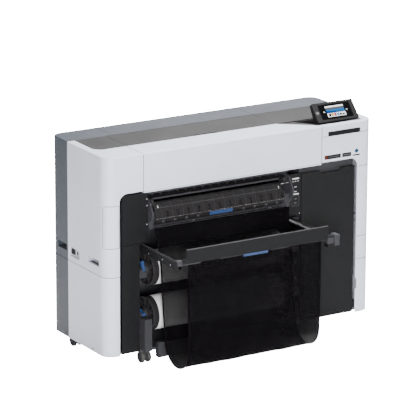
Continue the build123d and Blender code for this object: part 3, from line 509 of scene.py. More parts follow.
def wound_paper(base):
    """Paper on a roll: fine rings of tone by the distance from the lower roll's axis, the same on both
    rolls, and soft bands of tone across its width."""
    tree, shader = material("wound_paper")
    place = tree.place()
    split = tree.add("ShaderNodeSeparateXYZ", {0: place})
    bands = tree.noise(tree.add("ShaderNodeMapping", {"Vector": place, "Scale": (40.0, 2.0, 2.0)}).outputs[0],
                       1.0, 4.0)
    fibre = tree.noise(place, 700.0, 4.0, 0.7)
    body = tree.mix(tree.remap(bands, 0.35, 0.65), tone(base, 0.94), tone(base, 1.03))
    low = corners("lower_roll_paper")
    centre = (low[0] + low[1]) / 2
    radius = tree.math("POWER", tree.math("ADD", tree.math("POWER", tree.math(
        "SUBTRACT", split.outputs[1], centre[1]), 2.0), tree.math("POWER", tree.math(
            "SUBTRACT", split.outputs[2], centre[2]), 2.0)), 0.5)
    rings = tree.math("SINE", tree.math("MULTIPLY", radius, 2 * pi / (0.9 * MM)))
    ends = tree.remap(rings, -1.0, 1.0, 0.0, 0.12)
    connect(tree, shader, Base_Color=tree.mix(ends, body, tone(base, 0.7)))
    connect(tree, shader, Roughness=tree.remap(fibre, 0.0, 1.0, 0.6, 0.75))
    bump = tree.add("ShaderNodeBump", {"Height": fibre, "Strength": 0.2, "Distance": 0.03 * MM})
    connect(tree, shader, Normal=bump.outputs[0])


def woven(name, base, pitch, cover):
    """See-through woven cloth: threads stop light, and the gaps between them let some through."""
    tree, shader = material(name)
    weave = tree.group("Plain weave", {"Pitch": pitch})
    slub = tree.noise(tree.place(), 220.0, 3.0)
    body = tree.mix(weave["Thread"], tone(base, 0.6), tone(base, 1.25))
    connect(tree, shader, Base_Color=tree.mix(tree.remap(slub, 0.4, 0.8, 0.0, 0.3), body, tone(base, 1.6)))
    connect(tree, shader, Roughness=tree.remap(slub, 0.2, 0.8, 0.5, 0.68))
    connect(tree, shader, Alpha=tree.remap(weave["Thread"], 0.0, 1.0, max(0.0, cover - 0.25),
                                           min(1.0, cover + 0.08)))
    shader.inputs["Specular IOR Level"].default_value = 0.04
    bump = tree.add("ShaderNodeBump", {"Height": weave["Height"], "Strength": 0.4, "Distance": 0.2 * MM})
    connect(tree, shader, Normal=bump.outputs[0])


def screen_glass(base):
    """Black touch glass with faint smears in its gloss."""
    tree, shader = material("touch_glass")
    smear = tree.noise(tree.add("ShaderNodeMapping", {"Vector": tree.place(), "Scale": (60.0, 18.0, 30.0)})
                       .outputs[0], 1.0, 5.0, 0.6)
    connect(tree, shader, Base_Color=tree.mix(smear, tone(base, 0.9), tone(base, 1.2)))
    connect(tree, shader, Roughness=tree.remap(smear, 0.35, 0.8, 0.07, 0.2))
    shader.inputs["Specular IOR Level"].default_value = 0.08


def stepped(tree, factor, stops):
    """Colours that change in steps: (place from 0 to 1, colour) pairs."""
    ramp = tree.add("ShaderNodeValToRGB", {0: factor})
    ramp.color_ramp.interpolation = "CONSTANT"
    elements = ramp.color_ramp.elements
    while len(elements) < len(stops):
        elements.new(0.5)
    for element, (place, value) in zip(elements, stops):
        element.position = place
        element.color = (*value, 1.0)
    return ramp.outputs[0]


def screen_picture():
    """The lit start screen, plain shapes only: a status bar, a blue banner and a row of ink levels."""
    tree, shader = material("screen_picture")
    sheet = tree.add("ShaderNodeSeparateXYZ", {0: tree.add("ShaderNodeUVMap").outputs[0]})
    across, up = sheet.outputs[0], sheet.outputs[1]
    white, grey = (0.9, 0.92, 0.95), (0.07, 0.07, 0.07)
    rows = stepped(tree, up, [(0.0, white), (0.3, white), (0.34, (0.002, 0.03, 0.15)),
                              (0.6, (0.008, 0.07, 0.26)), (0.68, grey), (0.86, white)])
    inks = [(0.003, 0.003, 0.003), (0.4, 0.3, 0.004), (0.3, 0.004, 0.08), (0.01, 0.15, 0.4),
            (0.003, 0.003, 0.003), (0.03, 0.04, 0.01)]
    stops, pitch = [(0.0, white)], 0.15
    for index, ink in enumerate(inks):
        start = 0.06 + index * pitch
        stops += [(start, ink), (start + 0.8 * pitch, white)]
    levels = stepped(tree, across, stops)
    wave = tree.math("MULTIPLY", tree.math("SINE", tree.math("MULTIPLY", across, 5.0)), 0.06)
    in_row = tree.math("MULTIPLY", tree.math("GREATER_THAN", up, 0.05),
                       tree.math("LESS_THAN", up, tree.math("ADD", 0.27, wave)))
    shown = tree.mix(in_row, rows, levels)
    banner = tree.math("MULTIPLY", tree.math("GREATER_THAN", up, tree.math("SUBTRACT", 0.56, tree.math(
        "MULTIPLY", across, 0.2))), tree.math("LESS_THAN", up, 0.66))
    shown = tree.mix(tree.math("MULTIPLY", banner, 0.5), shown, (0.02, 0.15, 0.35, 1.0))
    connect(tree, shader, Base_Color=tree.mix(0.97, shown, (0.0, 0.0, 0.0, 1.0)), Emission_Color=shown)
    shader.inputs["Emission Strength"].default_value = 2.4
    shader.inputs["Roughness"].default_value = 0.25
    shader.inputs["Specular IOR Level"].default_value = 0.1


def printed(name, base, roughness=0.5):
    """Printed ink or a label: a flat tone with a fine speckle."""
    tree, shader = material(name)
    speckle = tree.noise(tree.place(), 1500.0, 2.0)
    connect(tree, shader, Base_Color=tree.mix(speckle, tone(base, 0.85), tone(base, 1.12)))
    connect(tree, shader, Roughness=tree.remap(speckle, 0.2, 0.8, roughness - 0.05, roughness + 0.05))
    shader.inputs["Specular IOR Level"].default_value = 0.2


SLOT_FINISHES = {
    "white_cover": "white_plastic", "rear_cover": "rear_plastic", "roof": "roof_plastic",
    "dark_cover": "dark_plastic", "black_plastic": "black_plastic", "black_glass": "touch_glass",
    "blue_grip": "blue_plastic", "dark_steel": "dark_steel", "bright_steel": "bright_steel",
    "paper": "wound_paper", "flange": "flange_plastic", "cloth": "basket_cloth", "tyre": "tyre_rubber",
    "ink_pack": "ink_plastic"}
NODE_FINISHES = {"paper_guide": "guide_plastic", "panel_housing": "housing_plastic",
                 "side_grips": "grip_cups", "port_panel": "port_plastic"}


# ---- Operators ----------------------------------------------------------------------------------
class PLOTTER_OT_finishes(bpy.types.Operator):
    """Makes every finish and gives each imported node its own"""
    bl_idname = "plotter.finishes"
    bl_label = "Finishes"

    def execute(self, context):
        colours, sizes = context.scene.plotter.colours, context.scene.plotter.sizes
        for make in (grain_effect, edge_effect, dust_effect, weave_effect):
            make()
        moulded("white_plastic", colours.white, 0.36, wear=0.15, wear_tone=1.12, dust=0.05)
        moulded("rear_plastic", colours.rear, 0.42, wear=0.2, wear_tone=1.35, dust=0.06)
        moulded("roof_plastic", colours.roof, 0.5, grain=650.0, depth=0.09, wear_tone=1.5, dust=0.04,
                gloss=0.3)
        moulded("dark_plastic", colours.dark, 0.55, grain=750.0, depth=0.08, wear_tone=2.0, dust=0.008,
                gloss=0.16)
        moulded("black_plastic", colours.black, 0.6, wear_tone=2.4, dust=0.004, gloss=0.07)
        moulded("guide_plastic", colours.guide, 0.52, grain=750.0, depth=0.08, wear_tone=1.8, dust=0.01,
                gloss=0.16)
        moulded("housing_plastic", colours.housing, 0.45, grain=750.0, depth=0.08, wear_tone=1.8, dust=0.01,
                gloss=0.22)
        grip_cups(colours.white, colours.rear)
        moulded("blue_plastic", colours.blue, 0.38, edge=0.0015, wear_tone=1.5, dust=0.02)
        moulded("flange_plastic", colours.flange, 0.55, wear_tone=1.8, dust=0.01, gloss=0.12)
        moulded("tyre_rubber", colours.tyre, 0.66, grain=500.0, depth=0.15, wear_tone=2.4, dust=0.25)
        moulded("port_plastic", tone(colours.white, 0.7)[:3], 0.4, dust=0.02)
        moulded("ink_plastic", colours.ink, 0.4, dust=0.02)
        brushed("dark_steel", colours.steel, 0.58, 0.0, gloss=0.1)
        brushed("bright_steel", colours.bright, 0.3, 1.0)
        wound_paper(colours.paper)
        woven("basket_cloth", colours.cloth, sizes.thread, sizes.cloth_cover)
        woven("cloth_hem", colours.cloth, sizes.thread, 0.93)
        screen_glass((0.003, 0.003, 0.0035))
        screen_picture()
        printed("pale_print", colours.mark)
        printed("grey_print", (0.085, 0.085, 0.09))
        printed("dark_label", (0.003, 0.0035, 0.005), 0.4)
        # near-black colour for the strips over the cover joints: painted shade of the seam gaps
        printed("seam_shade_paint", (0.006, 0.006, 0.007), 0.7)
        printed("grey_line", (0.16, 0.16, 0.165), 0.5)
        printed("red_print", (0.09, 0.012, 0.008))
        printed("blue_print", (0.02, 0.05, 0.1))
        # pale beige for the dashes along the guide's nose: painted highlight of its edge
        printed("edge_highlight_paint", (0.3, 0.295, 0.285))
        for entry in frame["record"]["subparts"]:
            mesh = frame["nodes"][entry["node"]].data
            finish = NODE_FINISHES.get(entry["node"], SLOT_FINISHES[entry["material_slot"]])
            mesh.materials.clear()
            mesh.materials.append(bpy.data.materials[finish])
        return {"FINISHED"}


def basket_profile(rows):
    """The basket cloth's path as rows of (back, up) metres: a rear fall that leans in, drawn as a smooth
    curve through its places, a half circle under it and a straight front fall, spaced evenly along it."""
    back_low, back_high = corners("basket_back_cloth")
    front_low, front_high = corners("basket_front_cloth")
    bottom_low = corners("basket_bottom_cloth")[0]
    top = np.array([back_high[1] - 1.2 * MM, back_high[2]])
    foot = np.array([back_low[1], back_low[2]])
    lean = np.array([[0.45, 0.82], [0.62, 0.64], [0.8, 0.26]])      # share of the lean, share of the height
    fall = np.vstack([top, np.stack([top[0] + (foot[0] - top[0]) * lean[:, 0],
                                     foot[1] + (top[1] - foot[1]) * lean[:, 1]], -1), foot])
    steps = np.linspace(0, 1, 60)
    knots = np.linspace(0, 1, len(fall))
    rear = np.stack([np.interp(steps, knots, fall[:, axis]) for axis in (0, 1)], -1)
    soften = np.ones(15) / 15
    padded = np.vstack([np.repeat(rear[:1], 7, 0), rear, np.repeat(rear[-1:], 7, 0)])
    smooth = np.stack([np.convolve(padded[:, axis], soften, "valid") for axis in (0, 1)], -1)
    smooth[0], smooth[-1] = rear[0], rear[-1]
    centre = np.array([(foot[0] + front_low[1]) / 2, foot[1]])
    wide, deep = (foot[0] - front_low[1]) / 2, foot[1] - bottom_low[2]
    turn = np.linspace(0, pi, 60)
    under = centre + np.stack([wide * np.cos(turn), -deep * np.sin(turn)], -1)
    front = np.array([[front_low[1], front_high[2]]])
    path = np.vstack([smooth, under[1:], front])
    travel = np.concatenate([[0], np.cumsum(np.linalg.norm(np.diff(path, axis=0), axis=1))])
    even = np.linspace(0, travel[-1], rows)
    return np.stack([np.interp(even, travel, path[:, axis]) for axis in (0, 1)], -1), travel[-1]


def cloth_surface(profile, left, right, columns):
    """The cloth as a grid: the profile repeated across, moved along its own normal by shallow folds that
    fade at the held top and bar, and drawn in a little at the free sides of the rounded bottom."""
    rows = len(profile)
    along = np.linspace(0, 1, rows)[:, None]
    across = np.linspace(0, 1, columns)[None, :]
    tangent = np.gradient(profile, axis=0)
    tangent /= np.linalg.norm(tangent, axis=1)[:, None]
    normal = np.stack([-tangent[:, 1], tangent[:, 0]], -1)
    free = np.sin(pi * along) ** 0.7
    folds = (0.9 * np.sin(2 * pi * (2.2 * across + 0.8 * along))
             + 0.6 * np.sin(2 * pi * (5.1 * across - 1.3 * along))
             + 0.35 * np.sin(2 * pi * (9.0 * across + 2.1 * along)))
    slack = 2.2 * np.sin(pi * across) * np.sin(2 * pi * np.clip(along * 2 - 1, 0, 1)) ** 2
    lift = MM * free * (folds + slack)
    curl = 1.5 * MM * free * np.exp(-np.minimum(across, 1 - across) / 0.012)
    place = profile[:, None, :] + (lift + curl)[..., None] * normal[:, None, :]
    draw = 2.5 * MM * np.exp(-((along - 0.58) / 0.16) ** 2) * (1 - 2 * across)
    x = left + (right - left) * across + draw
    return np.stack([np.broadcast_to(x, (rows, columns)), place[..., 0], place[..., 1]], -1)


class PLOTTER_OT_basket_cloth(bpy.types.Operator):
    """Hangs the see-through cloth of the paper basket, with its hems and the strips that hold it"""
    bl_idname = "plotter.basket_cloth"
    bl_label = "Basket Cloth"

    def execute(self, context):
        sizes = context.scene.plotter.sizes
        low, high = corners("basket_front_cloth")
        left, right, inset = low[0], high[0], 0.4 * MM
        profile, fall = basket_profile(sizes.cloth_rows)
        columns = 110
        surface = cloth_surface(profile, left + inset, right - inset, columns)
        rows = sizes.cloth_rows
        mesh = bpy.data.meshes.new("basket_cloth")
        mesh.from_pydata(surface.reshape(-1, 3).tolist(), [], grid(rows, columns))
        mesh.shade_smooth()
        across, along = np.meshgrid(np.linspace(0, right - left, columns), np.linspace(0, fall, rows))
        map_points(mesh, "Sheet", np.stack([across.ravel(), along.ravel()], -1))
        mesh.materials.append(bpy.data.materials["basket_cloth"])
        cloth = bpy.data.objects.new("basket_cloth", mesh)
        context.scene.collection.objects.link(cloth)
        wall = cloth.modifiers.new("Cloth wall", "SOLIDIFY")
        wall.thickness = sizes.cloth_wall
        wall.offset = 0.0
        with context.temp_override(object=cloth, active_object=cloth):
            bpy.ops.object.modifier_apply(modifier=wall.name)
        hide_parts("basket_back_cloth", "basket_bottom_cloth", "basket_front_cloth")
        hems = self.hems(surface, sizes)
        for obj in (cloth, hems):
            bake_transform(obj)
        self.holders(left, right)
        return {"FINISHED"}

    def hems(self, surface, sizes):
        """A folded strip along each free side: the cloth's own side line, a hem wide and thicker."""
        shapes = []
        for column, sign in ((0, 1), (-1, -1)):
            line = surface[:, column].copy()
            tangent = np.gradient(line, axis=0)
            tangent /= np.linalg.norm(tangent, axis=1)[:, None]
            normal = np.cross(tangent, [1.0, 0, 0])
            thick = 1.1 * MM
            shapes.append(strip(line - normal * thick / 2, (sign * sizes.hem, 0, 0), normal * thick))
        hems = piece("basket_cloth_hems", joined(shapes), "cloth_hem", None)
        points = mesh_points(hems.data)
        map_points(hems.data, "Sheet", np.stack([points[:, 0], points[:, 1] + points[:, 2]], -1))
        return hems

    def holders(self, left, right):
        """The strip that clamps the cloth under the engine, and the one behind the bar."""
        top = corners("basket_back_cloth")[1]
        piece("cloth_top_strip", rounded_box(np.array([left, top[1] - 2 * MM, top[2] - 9 * MM]),
                                             np.array([right, top[1] + 3 * MM, top[2] + 1 * MM]), 1.5 * MM),
              "black_plastic", "cabinet")
        bar_low, bar_high = corners("basket_bar")
        strip_low = np.array([left, bar_high[1] + 1 * MM, bar_low[2] + 4 * MM])
        strip_high = np.array([right, bar_high[1] + 4 * MM, bar_low[2] + 16 * MM])
        piece("cloth_bar_strip", rounded_box(strip_low, strip_high, 1.2 * MM), "black_plastic", "basket")


class PLOTTER_OT_basket_fittings(bpy.types.Operator):
    """Adds the racks, screws, corner blocks, knob and edges of the basket's arms and bar"""
    bl_idname = "plotter.basket_fittings"
    bl_label = "Basket Fittings"

    def execute(self, context):
        self.racks()
        self.bar()
        self.corner_blocks()
        return {"FINISHED"}

    def racks(self):
        """A row of square teeth along the inner edge of each arm, and the arms' screws."""
        pitch, tooth = 8.0, 4.4
        starts = np.arange(-262, 30, pitch)
        left = [rounded_box(at(175, start, 523.6), at(181.5, start + tooth, 527), 0.6 * MM, 1)
                for start in starts]
        piece("basket_left_rack", joined(left), "black_plastic", "basket")
        right = [rounded_box(at(903.6, start, 512), at(905.4, start + tooth, 522), 0.5 * MM, 1)
                 for start in starts]
        piece("basket_right_rack", joined(right), "pale_print", "basket")
        screws = [screw(at(165.9 + sunk, back, up), (-1, 0, 0), 2.6 * MM) for back, up, sunk in
                  ((-60, 506, 1.0), (-172, 511, 0), (-236, 505, 0))]
        screws += [screw(at(921.1 - sunk, back, 510), (1, 0, 0), 2.6 * MM) for back, sunk in
                   ((-60, 1.0), (-172, 0), (-236, 0))]
        piece("basket_arm_screws", joined(screws), "bright_steel", "basket")

    def bar(self):
        """The bar's turned-over top edge, its stepped lower edge and the seam near its middle."""
        low, high = corners("basket_bar")
        lip = [(0, 0), (-1.2, 0.3), (-1.6, 1.4), (-0.6, 2.4), (7, 2.4), (8.5, 1.2), (8.5, -6), (7, -6),
               (7, 0)]
        base = at(0, 0, 0)
        back, up = (low[1] - base[1]) / MM, high[2] / MM
        outline = [(back + y, up + z - 2.2) for y, z in lip]
        left, right = 207, (high[0] - base[0]) / MM
        piece("basket_bar_lip", along_x(outline, left + 0.4, right - 0.4), "black_plastic", "basket",
              bevel=0.3 * MM)
        steps = [(186, 273, 6), (366, 482, 3), (610, 700, 3), (798, 884, 2)]
        shapes = [rounded_box(at(start, back + 0.6, 518.6 - drop), at(end, back + 6.4, 520), 1.2 * MM)
                  for start, end, drop in steps]
        piece("basket_bar_lower_edge", joined(shapes), "black_plastic", "basket")
        seam = rounded_box(at(546.2, back - 0.35, 519), at(547.2, back + 0.4, 574), 0.2 * MM, 1)
        piece("basket_bar_seam", seam, "dark_label", "basket")

    def corner_blocks(self):
        """A rounded block where each arm meets the bar, and the knob at the bar's right end."""
        blocks = [rounded_box(at(163, -296, 494), at(188, -268, 518), 6 * MM, 5),
                  rounded_box(at(163, -297, 512), at(187.4, -276, 535.6), 3 * MM),
                  rounded_box(at(884.6, -297, 498), at(916, -268, 526), 3 * MM)]
        piece("basket_corner_blocks", joined(blocks), "black_plastic", "basket")
        knob = [rounded_box(at(917, -299, 487), at(943, -262, 534), 3.5 * MM, 4),
                rounded_box(at(908, -292, 496), at(919, -268, 526), 2 * MM)]
        piece("basket_end_knob", joined(knob), "black_plastic", "basket")


class PLOTTER_OT_guide_details(bpy.types.Operator):
    """Adds the ribs, spur wheels, painted edge highlight, marks and end gears of the paper guide"""
    bl_idname = "plotter.guide_details"
    bl_label = "Paper Guide Details"

    def execute(self, context):
        low, high = corners("paper_guide")
        base = at(0, 0, 0)
        left, right = (low[0] - base[0]) / MM, (high[0] - base[0]) / MM
        centres = FIRST_SLOT + np.arange(SLOTS) * SLOT_PITCH
        self.ribs(left, right, centres)
        self.wheels(centres)
        self.brush(left, right)
        self.marks(left, right)
        self.ends(left, right)
        return {"FINISHED"}

    def ribs(self, left, right, centres):
        """Low ribs that follow the guide's outer line between its slots, and a long ridge across."""
        line = [(14, 697.4), (2, 689.6), (-13.5, 668.5), (-25.5, 637), (-24.6, 636.4), (-12.6, 667.6),
                (2.6, 688.4), (14, 696)]
        places = centres - SLOT_PITCH / 2
        shapes = [along_x(line, place - 0.6, place + 0.6) for place in places if left < place < right]
        ridge = [(-7.2, 677), (-8.4, 676.8), (-9.2, 675.4), (-8.8, 674.2), (-7, 674)]
        shapes.append(along_x(ridge, left + 6, right - 6))
        piece("paper_guide_ribs", joined(shapes), "black_plastic", "guide_flap")

    def wheels(self, centres):
        """A thin spur wheel in each slot, on short axle stubs."""
        stub = np.array([(0, -3.6), (1.6, -3.6), (1.6, 3.6), (0, 3.6)]) * MM
        shapes = []
        for centre in centres:
            place = at(centre, -10.5, 650)
            shapes.append(toothed_disc(place, (1, 0, 0), 8.4 * MM, 9.4 * MM, 1.0 * MM, 16))
            shapes.append(lathe(stub, place, (1, 0, 0), 12))
        piece("paper_guide_spur_wheels", joined(shapes), "black_plastic", "guide_flap")

    def brush(self, left, right):
        """The broken pale edge along the guide's nose, as short teeth of uneven height and length that paint
        the highlight along that edge, and the lugs under it."""
        draw = np.random.default_rng(7)
        shapes = []
        for start in np.arange(left + 2, right - 6, 8.5):
            rise = draw.uniform(0.5, 1.8)
            end = start + draw.uniform(1.4, 5.4)
            shapes.append(rounded_box(at(start, -25.6, 633.9 - rise * 0.3),
                                      at(end, -24.4, 634.6 + rise * 0.3), 0.3 * MM, 1))
        # pale dashes along the nose: painted highlight of the guide's edge
        piece("paper_guide_edge_highlight", joined(shapes), "edge_highlight_paint", "guide_flap")
        lugs = [rounded_box(at(start, -26.4, 617), at(start + 12, -19, 627), 1.2 * MM, 2)
                for start in np.linspace(left + 30, right - 42, 11) if not 462 < start < 600]
        piece("paper_guide_lip_lugs", joined(lugs), "black_plastic", "guide_flap")

    def marks(self, left, right):
        """A small printed arrow and bar near both ends, on the guide's sloping face."""
        slope = unit((0, -15, -21))
        outward = unit(np.cross(slope, (1, 0, 0)))
        outward = outward * np.sign(-outward[1])
        arrow = np.array([(-3, 0), (0, -4.5), (3, 0), (1.2, 0), (1.2, 3.5), (-1.2, 3.5), (-1.2, 0)]) * MM
        bar = np.array([(-3.4, 5.2), (3.4, 5.2), (3.4, 6.6), (-3.4, 6.6)]) * MM
        shapes = []
        for place in (left + 20, right - 17):
            origin = at(place, -5.5, 678.5) + outward * 0.4 * MM
            for outline in (arrow, bar):
                shapes.append(prism(outline, origin, (1, 0, 0), -slope, outward * PRINT))
        piece("paper_guide_marks", joined(shapes), "pale_print", "guide_flap")

    def ends(self, left, right):
        """A gear and a disc at each end of the guide, and the curved arms that hold its pins."""
        gears, arms = [], []
        for edge, sign in ((left, -1), (right, 1)):
            place = at(edge + sign * 5, -4, 648)
            gears.append(toothed_disc(place, (1, 0, 0), 14 * MM, 16.5 * MM, 5 * MM, 26))
            profile = [(0, 0), (9, 0), (10, 1), (10, 4), (7, 6), (0, 6)]
            hub = place + np.array([sign * 2.4 * MM, 0, 0])
            gears.append(lathe(np.array(profile) * MM, hub, (sign, 0, 0), 28))
            turn = np.linspace(0.05 * pi, 0.95 * pi, 16)
            ring = [np.stack([6 + size * np.cos(turn), 694 + size * np.sin(turn)], -1) for size in (17, 23)]
            start, end = sorted((edge + sign * 3, edge + sign * 14))
            arms.append(along_x(np.vstack([ring[0], ring[1][::-1]]), start, end))
        piece("paper_guide_end_gears", joined(gears), "black_plastic", "guide_flap")
        piece("paper_guide_end_arms", joined(arms), "flange_plastic", "cabinet",
              bevel=0.6 * MM)


class PLOTTER_OT_bay_fittings(bpy.types.Operator):
    """Adds the beam under the engine, its clips, the wall marks, cover screws and inner linings"""
    bl_idname = "plotter.bay_fittings"
    bl_label = "Bay Fittings"

    def execute(self, context):
        beam = [(4.2, 586), (9.4, 586), (9.4, 640), (6.5, 644), (4.2, 640)]
        shapes = [along_x(beam, 206, 888)]
        shapes += [rounded_box(at(x - 1, 1.6, 590), at(x + 1, 5, 636), 0.8 * MM, 1)
                   for x in np.linspace(232, 862, 22)]
        piece("engine_front_beam", joined(shapes), "black_plastic", "cabinet")
        clips = [rounded_box(at(x - 7, -1.5, 593), at(x + 7, 4.6, 600), 1.2 * MM, 2) for x in (415, 788)]
        piece("engine_beam_clips", joined(clips), "grey_print", "cabinet")
        screws = [screw(at(197, 7.9, up), (0, -1, 0), 2.8 * MM) for up in (717, 689, 609)]
        screws.append(screw(at(940, 7.9, 548), (0, -1, 0), 2.4 * MM))
        piece("column_screws", joined(screws), "bright_steel", "cabinet")
        self.wall_marks()
        self.roof_lining()
        return {"FINISHED"}

    def wall_marks(self):
        """Pale loading arrows on the right side plate, above each roll."""
        arrow = np.array([(-8, 0), (0, 5), (0, 2), (8, 2), (8, -2), (0, -2), (0, -5)]) * MM
        wedge = np.array([(-9, -5), (8, -5), (-9, 6)]) * MM
        shapes = []
        for outline, up in ((arrow, 321), (arrow, 249), (wedge, 193)):
            shapes.append(prism(outline, at(946.8, 44, up), (0, 1, 0), (0, 0, 1), (-PRINT, 0, 0)))
        piece("loading_marks", joined(shapes), "pale_print", "cabinet")

    def roof_lining(self):
        """A ribbed lining behind the cover's lower edge, over the paper's way out."""
        outline = [(14, 735), (18, 735), (60, 742), (60, 744), (14, 744)]
        shapes = [along_x(outline, 206, 884)]
        shapes += [along_x([(13, 728), (15, 727), (40, 738), (40, 741), (13, 738)], x - 1.2, x + 1.2)
                   for x in np.linspace(226, 866, 17)]
        piece("paper_exit_lining", joined(shapes), "black_plastic", "cabinet")


class PLOTTER_OT_roll_details(bpy.types.Operator):
    """Adds the spokes, rims and clips of the four roll ends"""
    bl_idname = "plotter.roll_details"
    bl_label = "Roll Details"

    def execute(self, context):
        for level in ("upper", "lower"):
            low, high = corners(f"{level}_roll_adapters")
            paper_low, paper_high = corners(f"{level}_roll_paper")
            centre = (low + high) / 2
            radius = (high[2] - low[2]) / 2
            ends, rims, discs = [], [], []
            for edge, sign in ((paper_low[0], -1), (paper_high[0], 1)):
                face = edge + sign * 27 * MM
                middle = np.array([face, centre[1], centre[2]])
                ends += self.spokes(middle, sign, radius)
                rims.append(self.rim(middle, sign, radius))
                discs.append(self.hub(middle, sign))
            piece(f"{level}_roll_end_spokes", joined(ends), "flange_plastic", f"{level}_roll")
            piece(f"{level}_roll_end_rims", joined(rims), "black_plastic", f"{level}_roll")
            piece(f"{level}_roll_end_hubs", joined(discs), "black_plastic", f"{level}_roll")
            self.lock(level, centre, radius)
        return {"FINISHED"}

    def spokes(self, middle, sign, radius):
        """Ten radial ribs inside a flange's hollow."""
        shapes = []
        for turn in np.arange(10) * 2 * pi / 10:
            out = np.array([0, cos(turn), sin(turn)])
            side = np.array([0, -sin(turn), cos(turn)])
            outline = np.array([(33, -1.6), (radius / MM - 7, -1.2), (radius / MM - 7, 1.2), (33, 1.6)]) * MM
            shapes.append(prism(outline, middle - np.array([sign * 17 * MM, 0, 0]), out, side,
                                (sign * 15.5 * MM, 0, 0)))
        return shapes

    def rim(self, middle, sign, radius):
        """A ring of small grips round the flange's outer edge, standing a little inside its face."""
        teeth = 48
        turn = np.arange(teeth * 4) * 2 * pi / (teeth * 4)
        wave = np.where(np.arange(teeth * 4) % 4 < 2, 0.0, 1.1 * MM)
        circle = np.stack([np.cos(turn), np.sin(turn)], -1)
        outer = (radius + 0.15 * MM - wave)[:, None] * circle
        inner = (radius - 5 * MM) * circle
        return band(outer, inner, middle + np.array([sign * 0.2 * MM, 0, 0]), (0, 1, 0), (0, 0, 1),
                    (-sign * 6 * MM, 0, 0))

    def hub(self, middle, sign):
        """A stepped cap round the shaft in the flange's middle."""
        profile = [(14.2, -12), (30, -12), (32, -10), (32, -2), (30, 0), (22, 0.6), (20, 1.6), (14.2, 1.6)]
        return lathe(np.array(profile + profile[:1]) * MM, middle, (sign, 0, 0), 36)

    def lock(self, level, centre, radius):
        """The blue catch that arches over the right roll holder."""
        turn = np.linspace(radians(52), radians(112), 12)
        rings = [np.stack([size * np.cos(turn), size * np.sin(turn)], -1)
                 for size in (radius * 0.42, radius * 0.42 + 6 * MM)]
        outline = np.vstack([rings[0], rings[1][::-1]])
        base = corners("upper_roll_adapters")[1][0]
        origin = np.array([base - 11 * MM, centre[1], centre[2]])
        piece(f"{level}_roll_right_catch", prism(outline, origin, (0, 1, 0), (0, 0, 1), (10 * MM, 0, 0)),
              "blue_plastic", "cabinet", bevel=1.0 * MM)


class PLOTTER_OT_seam_shade_strips(bpy.types.Operator):
    """Adds thin near-black strips over the joints between the covers, as painted shade of the seam gaps"""
    bl_idname = "plotter.seam_seals"
    bl_label = "Seam Shade Strips"

    def execute(self, context):
        self.body_width = (corners("casing_right_lower")[1][0] - CASING_LEFT) / MM
        lines = [self.round_line(405, 424, 63, left=True), self.round_line(405, 424, 76, left=False),
                 self.round_line(528.7, 26.6, 63, left=True), self.round_line(708.3, 26.6, 63, left=True),
                 self.round_line(716, 324, 76, left=False), self.round_line(866.7, 324, 66, left=False),
                 self.round_line(302.7, 324, 76, left=False)]
        lines += [self.plain(at(-SHADE_STRIP_PROUD, 25.6, 529), (0, 2.1, 0), (0, 0, 179)),
                  self.plain(at(-SHADE_STRIP_PROUD, REAR_JOINT, 66), (0, 1.4, 0), (0, 0, 842)),
                  self.plain(at(self.body_width + SHADE_STRIP_PROUD, REAR_JOINT, 66), (0, 1.4, 0), (0, 0, 842))]
        for x in (176.2, 1042.2):
            lines.append(self.plain(at(x - 0.3, -SHADE_STRIP_PROUD, 748), (2.2, 0, 0), (0, 0, 161)))
        lines += [self.plain(at(175.9, 4, CASING_TOP), (2.2, 0, 0), (0, 136, 0)),
                  self.plain(at(215.3, 326, CASING_TOP), (1.5, 0, 0), (0, 139, 0)),
                  self.plain(at(900.3, 326, CASING_TOP), (1.5, 0, 0), (0, 139, 0)),
                  self.plain(at(1045, -SHADE_STRIP_PROUD, 866), (28, 0, 0), (0, 0, 1.4))]
        # near-black strips over the cover joints: painted shade of the seam gaps
        piece("seam_shade_strips", joined(lines), "seam_shade_paint", "cabinet")
        edge = [self.plain(at(178, -0.1, 751.5), (864, 0, 0), (0, 0, 1.3))]
        piece("cover_edge_line", joined(edge), "grey_line", "front_cover")
        return {"FINISHED"}

    def round_line(self, up, start, end, left):
        """A strip of painted seam shade along the casing's side from start, round its front corner and along
        its front to end.
        """
        turn = np.linspace(0, pi / 2, 12)
        arc = CASING_CORNER - CASING_CORNER * np.stack([np.cos(turn), np.sin(turn)], -1)
        places, turns = np.vstack([arc, [end, 0]]), np.append(turn, pi / 2)
        if start > CASING_CORNER:
            places, turns = np.vstack([[0, start], places]), np.append(0, turns)
        outward = np.stack([-np.cos(turns), -np.sin(turns), np.zeros(len(turns))], -1)
        kept = places[:, 1] <= start
        places, outward = places[kept], outward[kept]
        if not left:
            places = places * (-1, 1) + (self.body_width, 0)
            outward = outward * (-1, 1, 1)
        path = np.stack([at(across, back, up - 1.0) for across, back in places]) - outward * 0.5 * MM
        return strip(path, (0, 0, 2.0 * MM), outward * 0.6 * MM)

    def plain(self, corner, wide, tall):
        """A straight strip from a corner, as wide and as tall as given in millimetres, a hair thick."""
        wide, tall = np.array(wide, float) * MM, np.array(tall, float) * MM
        thin = unit(np.cross(wide, tall)) * 0.1 * MM
        base = corner - thin / 2
        points = np.array([base, base + wide, base + wide + tall, base + tall])
        points = np.vstack([points, points + thin])
        faces = [[3, 2, 1, 0], [4, 5, 6, 7], [0, 1, 5, 4], [1, 2, 6, 5], [2, 3, 7, 6], [3, 0, 4, 7]]
        return points, faces


